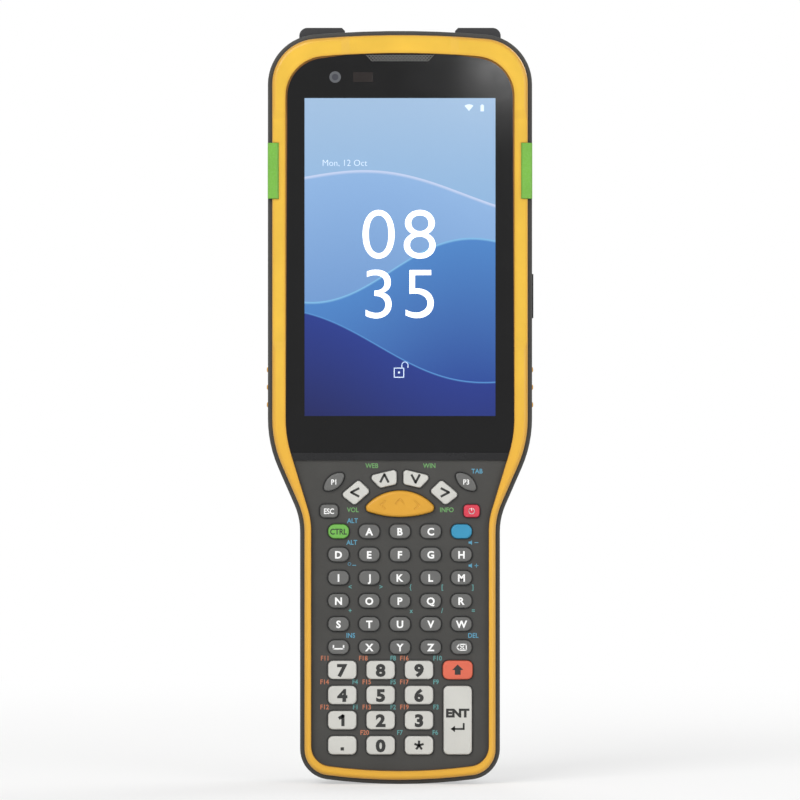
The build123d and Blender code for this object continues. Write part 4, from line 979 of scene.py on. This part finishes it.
def makeLabel(look):
    top, side = look["high"], look["right"]
    front, back = look["printFront"], look["printBack"]

    def block(columns, rows):
        return rectangleCorners(side - columns[1], side - columns[0], top - rows[1], top - rows[0])

    platePiece("label_sheet", roundedCorners(look["left"], side, look["low"], top, look["round"]),
               look["front"], look["back"], inks["paper"])
    black = bmesh.new()
    plateBetween(black, block(look["blackBlock"], look["blockRows"]), front, back)
    line = [(look["left"] + look["lineInset"], top - look["lineRow"]),
            (side - look["lineInset"], top - look["lineRow"])]
    strokeBetween(black, line, look["lineWidth"], front, back)
    column = look["barStart"]
    for index, wide in enumerate(look["bars"]):
        step = int(wide) * look["barStep"]
        if index % 2 == 0:
            plateBetween(black, block((column, column + step), look["barRows"]), front, back)
        column += step
    for words, column, row, height, weight, wide in look["blackWords"]:
        addWords(black, words, side - column, top - row, height, look["back"], weight, wide=wide, behind=True)
    finishMesh(black, "label_black_print", inks["black"], "terminal")
    platePiece("label_red_print", block(look["redBlock"], look["blockRows"]), front, back, inks["deepRed"])
    pale = bmesh.new()
    for words, column, row, height, weight, wide in look["whiteWords"]:
        addWords(pale, words, side - column, top - row, height, look["whiteDepth"], weight,
                 look["whiteThick"], wide=wide, behind=True)
    finishMesh(pale, "label_white_print", inks["white"], "terminal")


dockLook = {"halfWidth": 9.03, "front": 10.97, "back": 16.03, "low": 0.39, "high": 2.4}


def makeDockBlock(look):
    # dark moulding round the body of the dock contacts, with the pads left bare
    corners = rectangleCorners(-look["halfWidth"], look["halfWidth"], look["low"], look["high"])
    platePiece("dock_block", corners, look["front"], look["back"], finishes["housing"])


bayLook = {"left": -1.2, "right": 21.7, "low": 190.3, "high": 204.7, "round": 4.1,
           "floorFront": 40.06, "floorBack": 40.08,
           "divider": (10.63, 12.57), "dividerFront": 40.07, "dividerBack": 41.42}


def makeCameraBay(look):
    corners = roundedCorners(look["left"], look["right"], look["low"], look["high"], look["round"])
    platePiece("camera_bay_floor", corners, look["floorFront"], look["floorBack"], finishes["bayFloor"])
    corners = rectangleCorners(*look["divider"], look["low"], look["high"])
    platePiece("camera_divider", corners, look["dividerFront"], look["dividerBack"], finishes["divider"])


lensLook = {"x": 17.6, "z": 197.4, "face": 40.1, "ringOuter": 2.9, "ringInner": 2.3, "ringHigh": 0.5,
            "segments": (32, 16), "flatten": 0.2, "lift": 0.02, "pupil": 0.8, "pupilThick": 0.04,
            "ringSmooth": 30, "domeSmooth": 40}


def makeRearLens(look):
    x, z, face = look["x"], look["z"], look["face"]
    ring = bmesh.new()
    hoopBetween(ring, x, z, look["ringOuter"], look["ringInner"], face, face + look["ringHigh"])
    finishMesh(ring, "rear_lens_ring", finishes["lensRing"], "terminal", look["ringSmooth"])
    dome = bmesh.new()
    bmesh.ops.create_uvsphere(dome, u_segments=look["segments"][0], v_segments=look["segments"][1],
                              radius=look["ringInner"] * mm)
    bmesh.ops.bisect_plane(dome, geom=dome.verts[:] + dome.edges[:] + dome.faces[:], plane_co=(0, 0, 0),
                           plane_no=(0, -1, 0), clear_outer=True)
    bmesh.ops.scale(dome, vec=(1, look["flatten"], 1), verts=dome.verts)
    bmesh.ops.translate(dome, verts=dome.verts, vec=spot(x, face + look["lift"], z))
    finishMesh(dome, "rear_lens_dome", finishes["lensDome"], "terminal", look["domeSmooth"])
    pupil = bmesh.new()
    front = face + look["flatten"] * look["ringInner"]
    discBetween(pupil, x, z, look["pupil"], front, front + look["pupilThick"])
    finishMesh(pupil, "rear_lens_pupil", finishes["pupil"], "terminal")


flashLook = {"x": 7.4, "z": 197.0, "half": 1.2, "front": 40.1, "back": 40.5, "bevel": 0.15,
             "rimZ": 197.4, "rim": 2.5, "rimFront": 40.09, "rimBack": 40.2, "smooth": 30}


def makeFlash(look):
    x, z, half = look["x"], look["z"], look["half"]
    rim = bmesh.new()
    discBetween(rim, x, look["rimZ"], look["rim"], look["rimFront"], look["rimBack"])
    finishMesh(rim, "flash_rim", finishes["flashRim"], "terminal", look["smooth"])
    flash = bmesh.new()
    corners = rectangleCorners(x - half, x + half, z - half, z + half)
    plateBetween(flash, corners, look["front"], look["back"])
    bmesh.ops.bevel(flash, geom=flash.edges[:], offset=look["bevel"] * mm, affect="EDGES", segments=2,
                    profile=0.5, material=-1)
    finishMesh(flash, "flash_lens", finishes["flash_yellow"], "terminal", look["smooth"])


makeLabel(labelLook)
makeDockBlock(dockLook)
makeCameraBay(bayLook)
makeRearLens(lensLook)
makeFlash(flashLook)
print("back details made")
